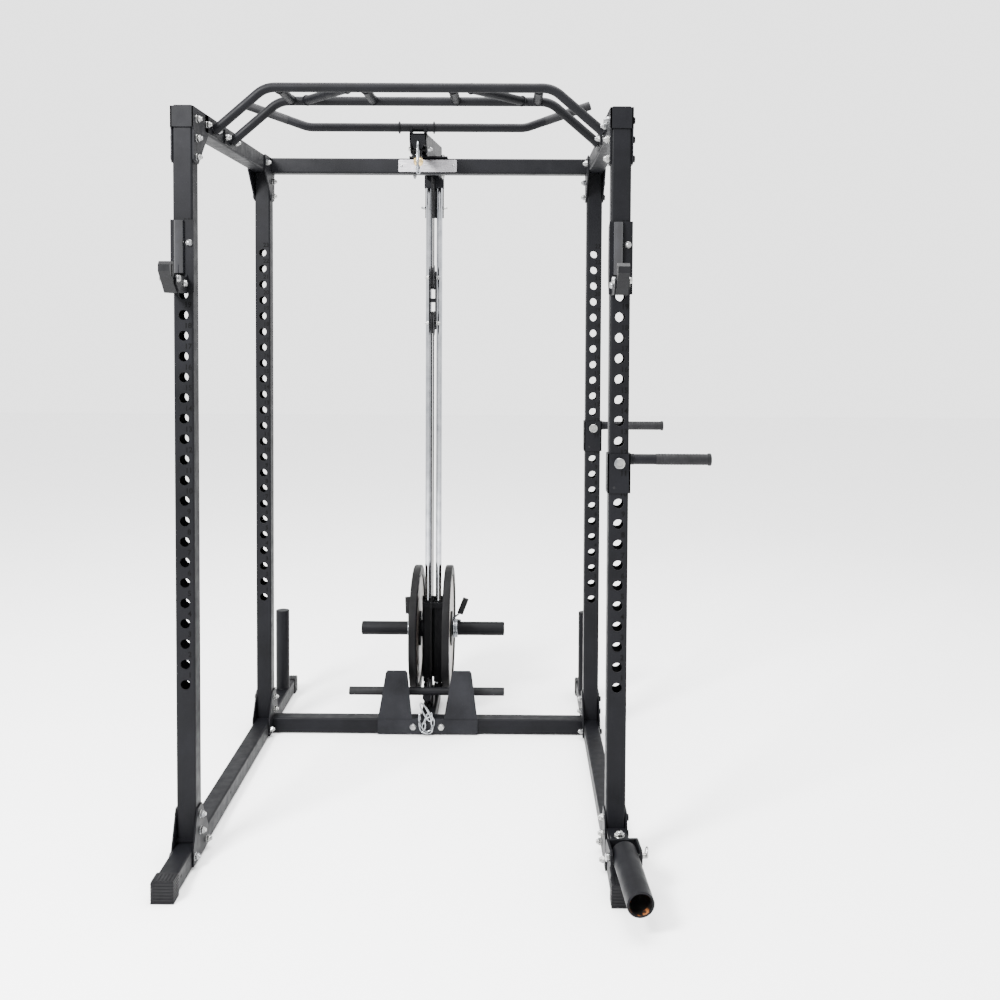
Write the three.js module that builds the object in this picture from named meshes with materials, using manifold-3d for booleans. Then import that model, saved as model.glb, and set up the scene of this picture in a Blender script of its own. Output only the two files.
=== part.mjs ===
// Power cage with pull-up bar, J-hooks, dip handles, landmine and a plate-loaded lat tower.
// Units are millimetres, +Z up. X runs across the cage, Y from its open front to its back.
// Everything is laid out from the middle of the front uprights' front faces, on the floor,
// and the whole group is moved at the end so that its bounding box stands on the origin.

import * as THREE from 'three';
import { mergeVertices } from 'three/addons/utils/BufferGeometryUtils.js';
import Module from 'manifold-3d';

const wasm = await Module();
wasm.setup();

// ---- driving dimensions ----------------------------------------------------------------
const GAP = 0.3;              // between pieces that touch
const TUBE = 50;              // square frame tube
const WALL = 3;
const PLATE = 4;              // gusset plate thickness
const WIDTH = 1150;           // over the uprights
const DEPTH = 840;            // front face of the front uprights to front face of the rear ones
const HEIGHT = 1930;          // top of the uprights
const CAP_WALL = 3;           // plastic foot cap
const BEAM_Z = CAP_WALL + GAP;
const BEAM_FRONT = -186;
const BEAM_REAR = 1252;
const BEAM_TOP = BEAM_Z + TUBE;

const HOLE_COUNT = 23;
const HOLE_RADIUS = 12.5;
const HOLE_SIDES = 6;
const PIN_RADIUS = 10;
const FIRST_HOLE_Z = 464;
const HOLE_PITCH = 52.4;

const POST_X = (WIDTH - TUBE) / 2;          // centre of an upright
const INNER_X = POST_X - TUBE / 2;
const GUSSET_INNER_X = INNER_X - GAP - PLATE;

const BAR_RADIUS = 12.7;      // pull-up tube
const BAR_Z = 2015;
const BAR_FRONT_Y = 175;
const BAR_REAR_Y = 350;

const ROD_RADIUS = 10.5;      // lat tower guide rods
const ROD_X = 19;
const TOWER_Y = 1107;
const ROD_TOP_Z = 1865;
const FOOT_TOP_Z = BEAM_TOP + 30;
const SLIDE_CLEARANCE = 0.4;

const SHEAVE_Y = 1047;        // centre of the floating pulleys
const SHEAVE_RADIUS = 40;     // to the cable's centre line
const SHEAVE_FLANGE = 44;
const SHEAVE_WIDTH = 13;
const UPPER_SHEAVE_Z = 1545;
const LOWER_SHEAVE_Z = 1385;
const FRONT_PULLEY = { y: 500, z: 1905, radius: 30, flange: 34 };
const REAR_PULLEY = { y: 1055, z: 1945, radius: 32, flange: 36 };
const LOW_PULLEY = { y: 967, z: 106, radius: 40, flange: 44 };
const AXLE_RADIUS = 5;
const CABLE_RADIUS = 2.5;
const GROOVE_CLEARANCE = 1.3;

const HORN_Z = 283;
const HORN_RADIUS = 24;
const HORN_END_X = 257;
const DISC_RADIUS = 225;
const DISC_BORE = 25.5;
const DISC_INNER_X = 43.5;
const DISC_WIDTH = 26;
const COLLAR_WIDTH = 22;

const HANDLE_RADIUS = 14;     // lat bar, low-row bar and dip handles
const SWIVEL = { x: POST_X + 3, y: -62, z: 100 };
const SWIVEL_YAW = 0.085;     // the landmine rests turned a little outwards
const TUBE_TILT = -0.085;     // and drooping a little
const TILT_PIN_OFFSET = 76;   // swivel axis to tilt pin

// ---- colours ---------------------------------------------------------------------------
const powderBlack = { color: 0x1d1f22, roughness: 0.5, metalness: 0.3 };
const plasticBlack = { color: 0x111214, roughness: 0.65, metalness: 0.0 };
const chrome = { color: 0xd4d7da, roughness: 0.12, metalness: 1.0 };
const zinc = { color: 0xa9abac, roughness: 0.35, metalness: 0.9 };
const ironGrey = { color: 0x26282b, roughness: 0.6, metalness: 0.4 };
const silver = { color: 0xb9babc, roughness: 0.3, metalness: 0.8 };
const nylon = { color: 0x2a2c30, roughness: 0.4, metalness: 0.0 };

const cage = new THREE.Group();

function addMesh(name, geometry, finish, position = [0, 0, 0], parent = cage) {
  const mesh = new THREE.Mesh(geometry, new THREE.MeshStandardMaterial(finish));
  mesh.name = name;
  mesh.position.set(...position);
  parent.add(mesh);
  return mesh;
}

// ---- shape helpers ---------------------------------------------------------------------
function box(x0, x1, y0, y1, z0, z1) {
  const geometry = new THREE.BoxGeometry(x1 - x0, y1 - y0, z1 - z0);
  return geometry.translate((x0 + x1) / 2, (y0 + y1) / 2, (z0 + z1) / 2);
}

function shapeFrom(points) {
  return new THREE.Shape(points.map(([a, b]) => new THREE.Vector2(a, b)));
}

// A [y, z] outline given thickness along X.
function outlineAlongX(points, x0, x1) {
  const geometry = new THREE.ExtrudeGeometry(shapeFrom(points), { depth: x1 - x0, bevelEnabled: false });
  const axes = new THREE.Matrix4().makeBasis(
    new THREE.Vector3(0, 1, 0), new THREE.Vector3(0, 0, 1), new THREE.Vector3(1, 0, 0));
  return geometry.applyMatrix4(axes).translate(x0, 0, 0);
}

// An [x, z] outline given thickness along Y.
function outlineAlongY(points, y0, y1) {
  const geometry = new THREE.ExtrudeGeometry(shapeFrom(points), { depth: y1 - y0, bevelEnabled: false });
  return geometry.rotateX(Math.PI / 2).translate(0, y1, 0);
}

const ALONG = {
  x: (geometry) => geometry.rotateZ(-Math.PI / 2),
  y: (geometry) => geometry,
  z: (geometry) => geometry.rotateX(Math.PI / 2),
};

function cylinder(axis, radius, from, to, centre, sides = 16) {
  const geometry = ALONG[axis](new THREE.CylinderGeometry(radius, radius, to - from, sides));
  const middle = { x: centre.x ?? 0, y: centre.y ?? 0, z: centre.z ?? 0 };
  middle[axis] = (from + to) / 2;
  return geometry.translate(middle.x, middle.y, middle.z);
}

// A [radius, distance] profile turned about the given axis.
function turned(axis, profile, sides) {
  const points = profile.map(([radius, distance]) => new THREE.Vector2(radius, distance));
  return ALONG[axis](new THREE.LatheGeometry(points, sides));
}

// A ring profile that closes on itself.
function ringProfile(inner, outer, from, to) {
  return [[inner, from], [outer, from], [outer, to], [inner, to], [inner, from]];
}

function sweptTube(points, radius, sides = 10, steps = 4 * points.length) {
  const curve = new THREE.CatmullRomCurve3(points.map((p) => new THREE.Vector3(...p)), false, 'centripetal');
  const section = new THREE.Shape();
  for (let i = 0; i < sides; i += 1) {
    const angle = (2 * Math.PI * i) / sides;
    const point = [radius * Math.cos(angle), radius * Math.sin(angle)];
    if (i === 0) section.moveTo(...point);
    else section.lineTo(...point);
  }
  return new THREE.ExtrudeGeometry(section, { steps, extrudePath: curve, bevelEnabled: false });
}

function straightPipe(from, to, radius, sides = 10) {
  const start = new THREE.Vector3(...from);
  const direction = new THREE.Vector3(...to).sub(start);
  const geometry = new THREE.CylinderGeometry(radius, radius, direction.length(), sides);
  geometry.translate(0, direction.length() / 2, 0);
  const turn = new THREE.Quaternion().setFromUnitVectors(new THREE.Vector3(0, 1, 0), direction.normalize());
  return geometry.applyQuaternion(turn).translate(...from);
}

// The straight runs of a bent tube, with a ball filling each bend.
function bentPipe(corners, radius, sides = 10) {
  const pieces = [];
  for (let i = 1; i < corners.length; i += 1) {
    pieces.push(straightPipe(corners[i - 1], corners[i], radius, sides));
    if (i < corners.length - 1) {
      pieces.push(new THREE.SphereGeometry(radius, sides, 6).rotateZ(Math.PI / 2).translate(...corners[i]));
    }
  }
  return pieces;
}

function arcPoints(centre, radius, from, to, count) {
  const points = [];
  for (let i = 0; i <= count; i += 1) {
    const angle = from + ((to - from) * i) / count;
    points.push([0, centre.y + radius * Math.cos(angle), centre.z + radius * Math.sin(angle)]);
  }
  return points;
}

// ---- booleans --------------------------------------------------------------------------
function toManifold(geometry) {
  const bare = geometry.clone();
  bare.deleteAttribute('normal');
  bare.deleteAttribute('uv');
  const merged = mergeVertices(bare, 1e-4);
  return new wasm.Manifold(new wasm.Mesh({
    numProp: 3,
    vertProperties: new Float32Array(merged.attributes.position.array),
    triVerts: new Uint32Array(merged.index.array),
  }));
}

function fromManifold(solid) {
  const mesh = solid.getMesh();
  const geometry = new THREE.BufferGeometry();
  geometry.setAttribute('position', new THREE.BufferAttribute(new Float32Array(mesh.vertProperties), 3));
  geometry.setIndex(new THREE.BufferAttribute(new Uint32Array(mesh.triVerts), 1));
  const flat = geometry.toNonIndexed();
  flat.computeVertexNormals();
  return flat;
}

function combine(added, removed = []) {
  let solid = added.map(toManifold).reduce((sum, next) => sum.add(next));
  for (const cut of removed) solid = solid.subtract(toManifold(cut));
  return fromManifold(solid);
}

const mirrorSides = [['left', -1], ['right', 1]];

// ---- frame tubes -----------------------------------------------------------------------
function holeZ(number) {
  return FIRST_HOLE_Z + (number - 1) * HOLE_PITCH;
}

function hollowTube(x0, x1, y0, y1, z0, z1, axis) {
  const inset = { x: WALL, y: WALL, z: WALL };
  inset[axis] = -1;
  const bore = box(x0 + inset.x, x1 - inset.x, y0 + inset.y, y1 - inset.y, z0 + inset.z, z1 - inset.z);
  return combine([box(x0, x1, y0, y1, z0, z1)], [bore]);
}

// An upright stands at its own origin, with its lower end on the base beam.
function uprightGeometry() {
  const half = TUBE / 2;
  const foot = BEAM_TOP + GAP;
  const outer = box(-half, half, 0, TUBE, foot, HEIGHT);
  const bore = box(-half + WALL, half - WALL, WALL, TUBE - WALL, foot - 1, HEIGHT + 1);
  const holes = [];
  for (let number = 1; number <= HOLE_COUNT; number += 1) {
    const drill = cylinder('y', HOLE_RADIUS, -1, TUBE + 1, { x: 0, z: 0 }, HOLE_SIDES);
    drill.translate(0, -TUBE / 2, 0).rotateY(Math.PI / HOLE_SIDES).translate(0, TUBE / 2, holeZ(number));
    holes.push(drill);
  }
  return combine([outer], [bore, ...holes]);
}

for (const [side, sign] of mirrorSides) {
  addMesh(`upright_front_${side}`, uprightGeometry(), powderBlack, [sign * POST_X, 0, 0]);
  addMesh(`upright_rear_${side}`, uprightGeometry(), powderBlack, [sign * POST_X, DEPTH, 0]);

  const half = TUBE / 2;
  addMesh(`base_beam_${side}`,
    hollowTube(-half, half, BEAM_FRONT, BEAM_REAR, BEAM_Z, BEAM_TOP, 'y'),
    powderBlack, [sign * POST_X, 0, 0]);
  addMesh(`top_beam_${side}`,
    hollowTube(-half, half, TUBE + GAP, DEPTH - GAP, HEIGHT - TUBE, HEIGHT, 'y'),
    powderBlack, [sign * POST_X, 0, 0]);
}

const crossmemberEnd = GUSSET_INNER_X - GAP;
addMesh('base_rear_crossmember',
  hollowTube(-crossmemberEnd, crossmemberEnd, DEPTH, DEPTH + TUBE, BEAM_Z, BEAM_TOP, 'x'), powderBlack);
addMesh('top_rear_crossmember',
  hollowTube(-crossmemberEnd, crossmemberEnd, DEPTH, DEPTH + TUBE, HEIGHT - TUBE, HEIGHT, 'x'), powderBlack);

// ---- foot caps -------------------------------------------------------------------------
// A cap is a cup over the beam's end. It points along -Y from its own origin at the end face.
function footCapGeometry() {
  const outerHalf = TUBE / 2 + GAP + CAP_WALL;
  const pocketHalf = TUBE / 2 + GAP;
  const capDepth = 40;
  const top = BEAM_TOP + GAP + CAP_WALL;
  const body = box(-outerHalf, outerHalf, -CAP_WALL - GAP, capDepth, 0, top);
  const pocket = box(-pocketHalf, pocketHalf, -GAP, capDepth + 1, CAP_WALL, BEAM_TOP + GAP);
  const ribs = [];
  for (let z = 6; z < top - 6; z += 8) {
    ribs.push(box(-outerHalf + 3, outerHalf - 3, -CAP_WALL - GAP - 1.5, -CAP_WALL - GAP + 0.5, z, z + 4));
  }
  return combine([body, ...ribs], [pocket]);
}

for (const [side, sign] of mirrorSides) {
  const x = sign * POST_X;
  addMesh(`foot_cap_front_${side}`, footCapGeometry(), plasticBlack, [x, BEAM_FRONT, 0]);
  const rear = addMesh(`foot_cap_rear_${side}`, footCapGeometry(), plasticBlack, [x, BEAM_REAR, 0]);
  rear.rotation.z = Math.PI;
}

// ---- corner brackets -------------------------------------------------------------------
// A bracket wraps three faces of an upright: two cheeks and a web across its front.
// The outline is the cheeks' [y, z] shape, and the web stands over [webFrom, webTo].
function wrapBracket(outline, webFrom, webTo) {
  const outer = TUBE / 2 + GAP + PLATE;
  const inner = TUBE / 2 + GAP;
  const cheeks = outlineAlongX(outline, -outer, outer);
  const reach = 400;
  const pocket = box(-inner, inner, -GAP, reach, -1, HEIGHT + 1);
  const slot = box(-inner, inner, -reach, 0, -1, HEIGHT + 1);
  const web = box(-outer, outer, -GAP - PLATE, -GAP, webFrom, webTo);
  return combine([combine([cheeks], [pocket, slot]), web]);
}

const TOP_CHEEK_Z = 1790;
const TOP_REACH = 128;
const TOP_WEB = [HEIGHT - TUBE - 2, HEIGHT];
const BASE_WEB = [BEAM_TOP + GAP + CAP_WALL, BEAM_TOP + 40];
const topOutline = [
  [-GAP - PLATE, HEIGHT - TUBE - 2], [0, HEIGHT - TUBE - 8], [0, TOP_CHEEK_Z + 8], [6, TOP_CHEEK_Z],
  [40, TOP_CHEEK_Z], [TOP_REACH, HEIGHT - TUBE], [TOP_REACH, HEIGHT], [-GAP - PLATE, HEIGHT],
];
const BASE_CHEEK_Z = 142;
const baseOutline = [
  [-34, 8], [92, 8], [92, BEAM_TOP + 8], [40, BASE_CHEEK_Z], [4, BASE_CHEEK_Z],
  [-GAP - PLATE, BASE_CHEEK_Z - 20], [-34, BEAM_TOP - 4],
];

for (const [side, sign] of mirrorSides) {
  const x = sign * POST_X;
  const rearFace = DEPTH + TUBE;
  addMesh(`top_bracket_front_${side}`, wrapBracket(topOutline, ...TOP_WEB), powderBlack, [x, 0, 0]);
  addMesh(`base_bracket_front_${side}`, wrapBracket(baseOutline, ...BASE_WEB), powderBlack, [x, 0, 0]);
  const topRear = addMesh(`top_bracket_rear_${side}`, wrapBracket(topOutline, ...TOP_WEB),
    powderBlack, [x, rearFace, 0]);
  const baseRear = addMesh(`base_bracket_rear_${side}`, wrapBracket(baseOutline, ...BASE_WEB),
    powderBlack, [x, rearFace, 0]);
  topRear.rotation.z = Math.PI;
  baseRear.rotation.z = Math.PI;
}

// ---- pull-up bar -----------------------------------------------------------------------
function pullUpTube(y) {
  const corners = [
    [-GUSSET_INNER_X - 1, y, 1897], [-383, y, BAR_Z], [383, y, BAR_Z], [GUSSET_INNER_X + 1, y, 1897],
  ];
  return bentPipe(corners, BAR_RADIUS);
}

const pullUpParts = [...pullUpTube(BAR_FRONT_Y), ...pullUpTube(BAR_REAR_Y)];
for (const [, sign] of mirrorSides) {
  for (const x of [348, 117]) {
    pullUpParts.push(straightPipe([sign * x, BAR_FRONT_Y, BAR_Z], [sign * x, BAR_REAR_Y, BAR_Z], BAR_RADIUS));
  }
  const angled = [[sign * 158, BAR_FRONT_Y, BAR_Z], [sign * 312, BAR_REAR_Y, BAR_Z]];
  pullUpParts.push(straightPipe(...angled, BAR_RADIUS));
  for (const y of [BAR_FRONT_Y, BAR_REAR_Y]) {
    const faces = [sign * GUSSET_INNER_X, sign * (GUSSET_INNER_X + PLATE)].sort((a, b) => a - b);
    pullUpParts.push(box(faces[0], faces[1], y - 38, y + 38, HEIGHT - TUBE + 2, HEIGHT));
  }
}
const beyondPlates = mirrorSides.map(([, sign]) => {
  const faces = [sign * (GUSSET_INNER_X + PLATE), sign * POST_X].sort((a, b) => a - b);
  return box(faces[0], faces[1], 0, DEPTH, HEIGHT - TUBE, HEIGHT + TUBE);
});
addMesh('pull_up_bar', combine(pullUpParts, beyondPlates), powderBlack);

// ---- storage pegs and nameplate --------------------------------------------------------
const PEG_HEIGHT = 286;
function pegGeometry() {
  const wallInner = 21.5;
  const lid = PEG_HEIGHT - 4;
  return turned('z', [
    [0, PEG_HEIGHT], [20, PEG_HEIGHT], [HORN_RADIUS, PEG_HEIGHT - 4], [HORN_RADIUS, 0],
    [wallInner, 0], [wallInner, lid], [0, lid],
  ].reverse(), 20);
}
for (const [side, sign] of mirrorSides) {
  addMesh(`storage_peg_${side}`, pegGeometry(), powderBlack, [sign * POST_X, 1130, BEAM_TOP + GAP]);
}
const nameplate = box(-96, 96, DEPTH - GAP - 2, DEPTH - GAP, HEIGHT - 45, HEIGHT - 5);
addMesh('nameplate', nameplate, silver, [-2.5, 0, 0]);

// ---- J-hooks ---------------------------------------------------------------------------
const HOOK = {
  top: 1646, plateBottom: 1500, shelf: 1484, low: 1478, lipTop: 1530, lipY: -118,
  seatLeft: -19, seatRight: 16,
};
const hookOutline = [
  [-GAP, HOOK.top], [-6 - GAP, HOOK.top], [-6 - GAP, HOOK.shelf + 2], [HOOK.lipY + 8, HOOK.shelf + 2],
  [HOOK.lipY + 8, HOOK.lipTop], [HOOK.lipY, HOOK.lipTop], [HOOK.lipY, HOOK.low], [-GAP, HOOK.low],
];
function hookGeometry() {
  const outer = TUBE / 2 + GAP + PLATE;
  const inner = TUBE / 2 + GAP;
  const cheek = [
    [-6 - GAP, HOOK.top], [22, HOOK.top - 12], [30, HOOK.plateBottom + 24], [22, HOOK.plateBottom],
    [-6 - GAP, HOOK.low + 2],
  ];
  const pocket = box(-inner, inner, -GAP, 60, HOOK.low - 1, HOOK.top + 1);
  const cheeks = combine([outlineAlongX(cheek, -outer, outer)], [pocket]);
  const pin = cylinder('y', PIN_RADIUS, -2, TUBE - 8, { x: 0, z: holeZ(21) }, 12);
  const backPlate = box(-TUBE / 2, TUBE / 2, -6 - GAP, -GAP, HOOK.low, HOOK.top);
  return combine([outlineAlongX(hookOutline, HOOK.seatLeft, HOOK.seatRight), backPlate, cheeks, pin]);
}
// The pad lines the shelf and folds over the lip as one moulded piece.
const PAD_FACE = HOOK.lipY - 13;
const padOutline = [
  [-7, HOOK.shelf + 2 + GAP], [-7, HOOK.shelf + 10], [HOOK.lipY + 16, HOOK.shelf + 10],
  [HOOK.lipY + 16, HOOK.lipTop + 6], [PAD_FACE, HOOK.lipTop + 6], [PAD_FACE, 1461],
  [HOOK.lipY - GAP, 1461], [HOOK.lipY - GAP, HOOK.lipTop + GAP], [HOOK.lipY + 8 + GAP, HOOK.lipTop + GAP],
  [HOOK.lipY + 8 + GAP, HOOK.shelf + 2 + GAP],
];
for (const [side, sign] of mirrorSides) {
  addMesh(`j_hook_${side}`, hookGeometry(), powderBlack, [sign * POST_X, 0, 0]);
  addMesh(`j_hook_pad_${side}`, outlineAlongX(padOutline, HOOK.seatLeft, HOOK.seatRight),
    nylon, [sign * POST_X, 0, 0]);
}

// ---- dip handles -----------------------------------------------------------------------
const DIP_LENGTH = 203;
function dipHandleGeometry() {
  const outer = TUBE / 2 + GAP + PLATE;
  const inner = TUBE / 2 + GAP;
  const low = holeZ(11) - 25;
  const high = holeZ(12) + 22;
  const channel = box(-outer, outer, -PLATE - GAP, TUBE - 6, low, high);
  const pocket = box(-inner, inner, -GAP, TUBE, low - 1, high + 1);
  const bracket = combine([channel], [pocket]);
  const pin = cylinder('y', PIN_RADIUS, -22, TUBE + 10, { x: 0, z: holeZ(12) }, 12);
  const axis = { y: 22, z: holeZ(12) + 6 };
  const grip = cylinder('x', HANDLE_RADIUS, inner + 1, outer + DIP_LENGTH, axis, 16);
  const endCap = cylinder('x', HANDLE_RADIUS + 2, outer + DIP_LENGTH - 1, outer + DIP_LENGTH + 4, axis, 16);
  return combine([bracket, pin, grip, endCap]);
}
addMesh('dip_handle_front', dipHandleGeometry(), powderBlack, [POST_X, 0, 0]);
addMesh('dip_handle_rear', dipHandleGeometry(), powderBlack, [POST_X, DEPTH, 0]);

// ---- landmine --------------------------------------------------------------------------
const TONGUE_HALF = 4;
const SWIVEL_BORE = 8.4;
const swivelInBracket = { x: SWIVEL.x - POST_X, y: SWIVEL.y };
const BRACKET_FRONT_Y = -PLATE - 2 * GAP;
const bracketRib = [[BRACKET_FRONT_Y - 1, 70], [BRACKET_FRONT_Y - 1, 99], [-30, 99], [-30, 94]];
addMesh('landmine_bracket', combine([
  box(-25, 25, BRACKET_FRONT_Y - 6, BRACKET_FRONT_Y, BEAM_TOP + 8, 104),
  box(-24, 24, SWIVEL.y, BRACKET_FRONT_Y - 1, SWIVEL.z - TONGUE_HALF, SWIVEL.z + TONGUE_HALF),
  cylinder('z', 24, SWIVEL.z - TONGUE_HALF, SWIVEL.z + TONGUE_HALF, swivelInBracket, 24),
  outlineAlongX(bracketRib, -20, -14),
  outlineAlongX(bracketRib, 14, 20),
], [cylinder('z', SWIVEL_BORE, 0, 200, swivelInBracket)]), powderBlack, [POST_X, 0, 0]);

const landmine = new THREE.Group();
landmine.position.set(SWIVEL.x, SWIVEL.y, SWIVEL.z);
landmine.rotation.z = SWIVEL_YAW;
cage.add(landmine);

addMesh('landmine_swivel_bolt', turned('z', [
  [0, -20], [8, -20], [8, 12], [15, 12], [15, 20], [9, 26], [0, 28],
], 16), zinc, [0, 0, 0], landmine);

// The yoke straddles the bracket's tongue and holds the tilt pin between two ears.
const EAR_INNER = 33.4;
const EAR_OUTER = 39.4;
const EAR_END = -TILT_PIN_OFFSET - 18;
const yokeSide = [[-26, -16], [-40, -24], [EAR_END, -18], [EAR_END, 18], [-40, 24], [-26, 16]];
const yokeFork = [
  [18, 4.3], [18, 11.6], [-38, 11.6], [-38, -11.6], [18, -11.6], [18, -4.3], [-28, -4.3], [-28, 4.3],
];
addMesh('landmine_yoke', combine([
  outlineAlongX(yokeFork, -22, 22),
  box(-EAR_OUTER, EAR_OUTER, -38, -30, -22, 22),
  outlineAlongX(yokeSide, -EAR_OUTER, -EAR_INNER),
  outlineAlongX(yokeSide, EAR_INNER, EAR_OUTER),
], [
  cylinder('z', SWIVEL_BORE, -60, 60, {}),
  cylinder('x', 6.5, -60, 60, { y: -TILT_PIN_OFFSET, z: 0 }),
]), powderBlack, [0, 0, 0], landmine);

addMesh('landmine_tilt_pin', combine([
  cylinder('x', 6, -48, 56, {}),
  cylinder('x', 10, -48, -40, {}),
  box(45, 55, -3, 3, -2, 22),
]), zinc, [0, -TILT_PIN_OFFSET, 0], landmine);

const LANDMINE_OUTER = 31.8;
const LANDMINE_INNER = 26.5;
const tube = turned('y', ringProfile(LANDMINE_INNER, LANDMINE_OUTER, -184, 14), 20);
const landmineTube = addMesh('landmine_tube',
  combine([tube], [cylinder('x', 6.5, -60, 60, {})]), powderBlack, [0, -TILT_PIN_OFFSET, 0], landmine);
landmineTube.rotation.x = -TUBE_TILT;

// ---- lat tower -------------------------------------------------------------------------
const BOOM = { front: 452, rear: 1130, half: 25, frontTop: 1944, rearTop: 2013 };
const boomOutline = [
  [BOOM.front, BOOM.frontTop], [BOOM.front, 1890], [535, 1890], [832, HEIGHT + 6.3], [898, HEIGHT + 6.3],
  [968, 1895], [BOOM.rear, 1895], [BOOM.rear, BOOM.rearTop],
];
const channelOutline = [
  [BOOM.front + PLATE, BOOM.frontTop - PLATE], [BOOM.front + PLATE, 1800], [BOOM.rear - PLATE, 1800],
  [BOOM.rear - PLATE, BOOM.rearTop - PLATE],
];
const boomInner = BOOM.half - PLATE;
const saddleOutline = [
  [459, 1936], [489, 1936], [492, 1966], [489, 1966], [487.6, 1957], [480, 1950.2], [474, 1949.4],
  [468, 1950.2], [460.4, 1957], [459, 1966], [456, 1966],
];
addMesh('lat_boom', combine([
  combine([outlineAlongX(boomOutline, -BOOM.half, BOOM.half)],
    [outlineAlongX(channelOutline, -boomInner, boomInner)]),
  box(-63, 63, DEPTH - 5, DEPTH + TUBE + 5, HEIGHT + GAP, HEIGHT + 6.4),
  box(-34, 34, TOWER_Y - 14, TOWER_Y + 14, ROD_TOP_Z + GAP, 1912),
  cylinder('x', AXLE_RADIUS, -34, 34, FRONT_PULLEY, 12),
  cylinder('x', AXLE_RADIUS, -34, 34, REAR_PULLEY, 12),
  cylinder('x', 6, -32, 32, { y: SHEAVE_Y - SHEAVE_RADIUS, z: 1916 }, 12),
  outlineAlongX(saddleOutline, -BOOM.half, -BOOM.half + 8),
  outlineAlongX(saddleOutline, BOOM.half - 8, BOOM.half),
  box(-33, 33, TOWER_Y + ROD_RADIUS + GAP, TOWER_Y + ROD_RADIUS + 6, 1760, 1900),
  cylinder('x', 5, -39, 39, { y: TOWER_Y + ROD_RADIUS + 6, z: 1797 }, 12),
]), powderBlack);

for (const [side, sign] of mirrorSides) {
  addMesh(`guide_rod_${side}`, cylinder('z', ROD_RADIUS, FOOT_TOP_Z - 20, ROD_TOP_Z, {}, 16),
    chrome, [sign * ROD_X, TOWER_Y, 0]);
}
// The tower's foot is a floor beam with a socket for each rod and two cheeks for the low pulley.
const rodSockets = mirrorSides.map(([, sign]) => cylinder('z', ROD_RADIUS + GAP, FOOT_TOP_Z - 20 - GAP,
  FOOT_TOP_Z + 1, { x: sign * ROD_X, y: TOWER_Y }, 16));
const cheekOutline = [
  [LOW_PULLEY.y - 26, BEAM_TOP - 1], [LOW_PULLEY.y + 30, BEAM_TOP - 1],
  [LOW_PULLEY.y + 14, LOW_PULLEY.z + 16], [LOW_PULLEY.y - 14, LOW_PULLEY.z + 16],
];
addMesh('tower_foot', combine([
  box(-25, 25, DEPTH + TUBE + GAP, TOWER_Y + 40, BEAM_Z, BEAM_TOP),
  box(-34, 34, TOWER_Y - 18, TOWER_Y + 18, BEAM_TOP - 1, FOOT_TOP_Z),
  outlineAlongX(cheekOutline, -14, -9),
  outlineAlongX(cheekOutline, 9, 14),
  cylinder('x', AXLE_RADIUS, -18, 18, LOW_PULLEY, 12),
  cylinder('z', 17, 0, BEAM_Z + 1, { x: 0, y: TOWER_Y + 10 }, 16),
], rodSockets), powderBlack);

// Foot plates: one folded bracket on the crossmember's front, with two tapered plates.
const bandTop = BEAM_TOP + 2;
const plateTop = 219;
const footPlateOutline = [
  [-166, 4], [170, 4], [170, bandTop], [148, plateTop], [84, plateTop], [56, bandTop],
  [-50, bandTop], [-67, plateTop], [-138, plateTop], [-166, bandTop],
];
const footPlateBack = DEPTH - GAP;
addMesh('foot_plates', combine([
  outlineAlongY(footPlateOutline, footPlateBack - 5, footPlateBack),
  ...[-100, 108].map((x) => outlineAlongX([
    [footPlateBack - 1, 104], [footPlateBack + 74, 104], [footPlateBack + 84, 112], [footPlateBack + 84, 130],
    [footPlateBack + 79, 130], [footPlateBack + 76, 114], [footPlateBack + 50, 112], [footPlateBack - 1, 112],
  ], x - 8, x + 8)),
]), powderBlack);

// ---- pulleys ---------------------------------------------------------------------------
function pulleyGeometry(radius, flange) {
  const half = SHEAVE_WIDTH / 2;
  const bore = AXLE_RADIUS + GAP;
  const groove = radius - CABLE_RADIUS - GROOVE_CLEARANCE;
  return turned('x', [
    [bore, -half], [flange, -half], [flange, -half + 1.5], [groove, -half + 3.5], [groove, half - 3.5],
    [flange, half - 1.5], [flange, half], [bore, half], [bore, -half],
  ], 20);
}
function addPulley(name, pulley) {
  addMesh(name, pulleyGeometry(pulley.radius, pulley.flange), nylon, [0, pulley.y, pulley.z]);
}
function sheaveAt(z) {
  return { y: SHEAVE_Y, z, radius: SHEAVE_RADIUS, flange: SHEAVE_FLANGE };
}
addPulley('front_pulley', FRONT_PULLEY);
addPulley('rear_pulley', REAR_PULLEY);
addPulley('low_pulley', LOW_PULLEY);
addPulley('upper_floating_pulley', sheaveAt(UPPER_SHEAVE_Z));
addPulley('lower_floating_pulley', sheaveAt(LOWER_SHEAVE_Z));

const STRAP_HALF = 16;
const strap = [
  [SHEAVE_Y - STRAP_HALF, LOWER_SHEAVE_Z - 22], [SHEAVE_Y + STRAP_HALF, LOWER_SHEAVE_Z - 22],
  [SHEAVE_Y + STRAP_HALF, UPPER_SHEAVE_Z + 22], [SHEAVE_Y - STRAP_HALF, UPPER_SHEAVE_Z + 22],
];
const STRAP_INNER = 9;
addMesh('floating_block', combine([
  outlineAlongX(strap, -STRAP_INNER - 4, -STRAP_INNER),
  outlineAlongX(strap, STRAP_INNER, STRAP_INNER + 4),
  box(-STRAP_INNER - 1, STRAP_INNER + 1, SHEAVE_Y - 10, SHEAVE_Y + 10, 1458, 1472),
  cylinder('x', AXLE_RADIUS, -26, 24, { y: SHEAVE_Y, z: UPPER_SHEAVE_Z }, 12),
  cylinder('x', AXLE_RADIUS, -26, 24, { y: SHEAVE_Y, z: LOWER_SHEAVE_Z }, 12),
]), powderBlack);

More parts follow.
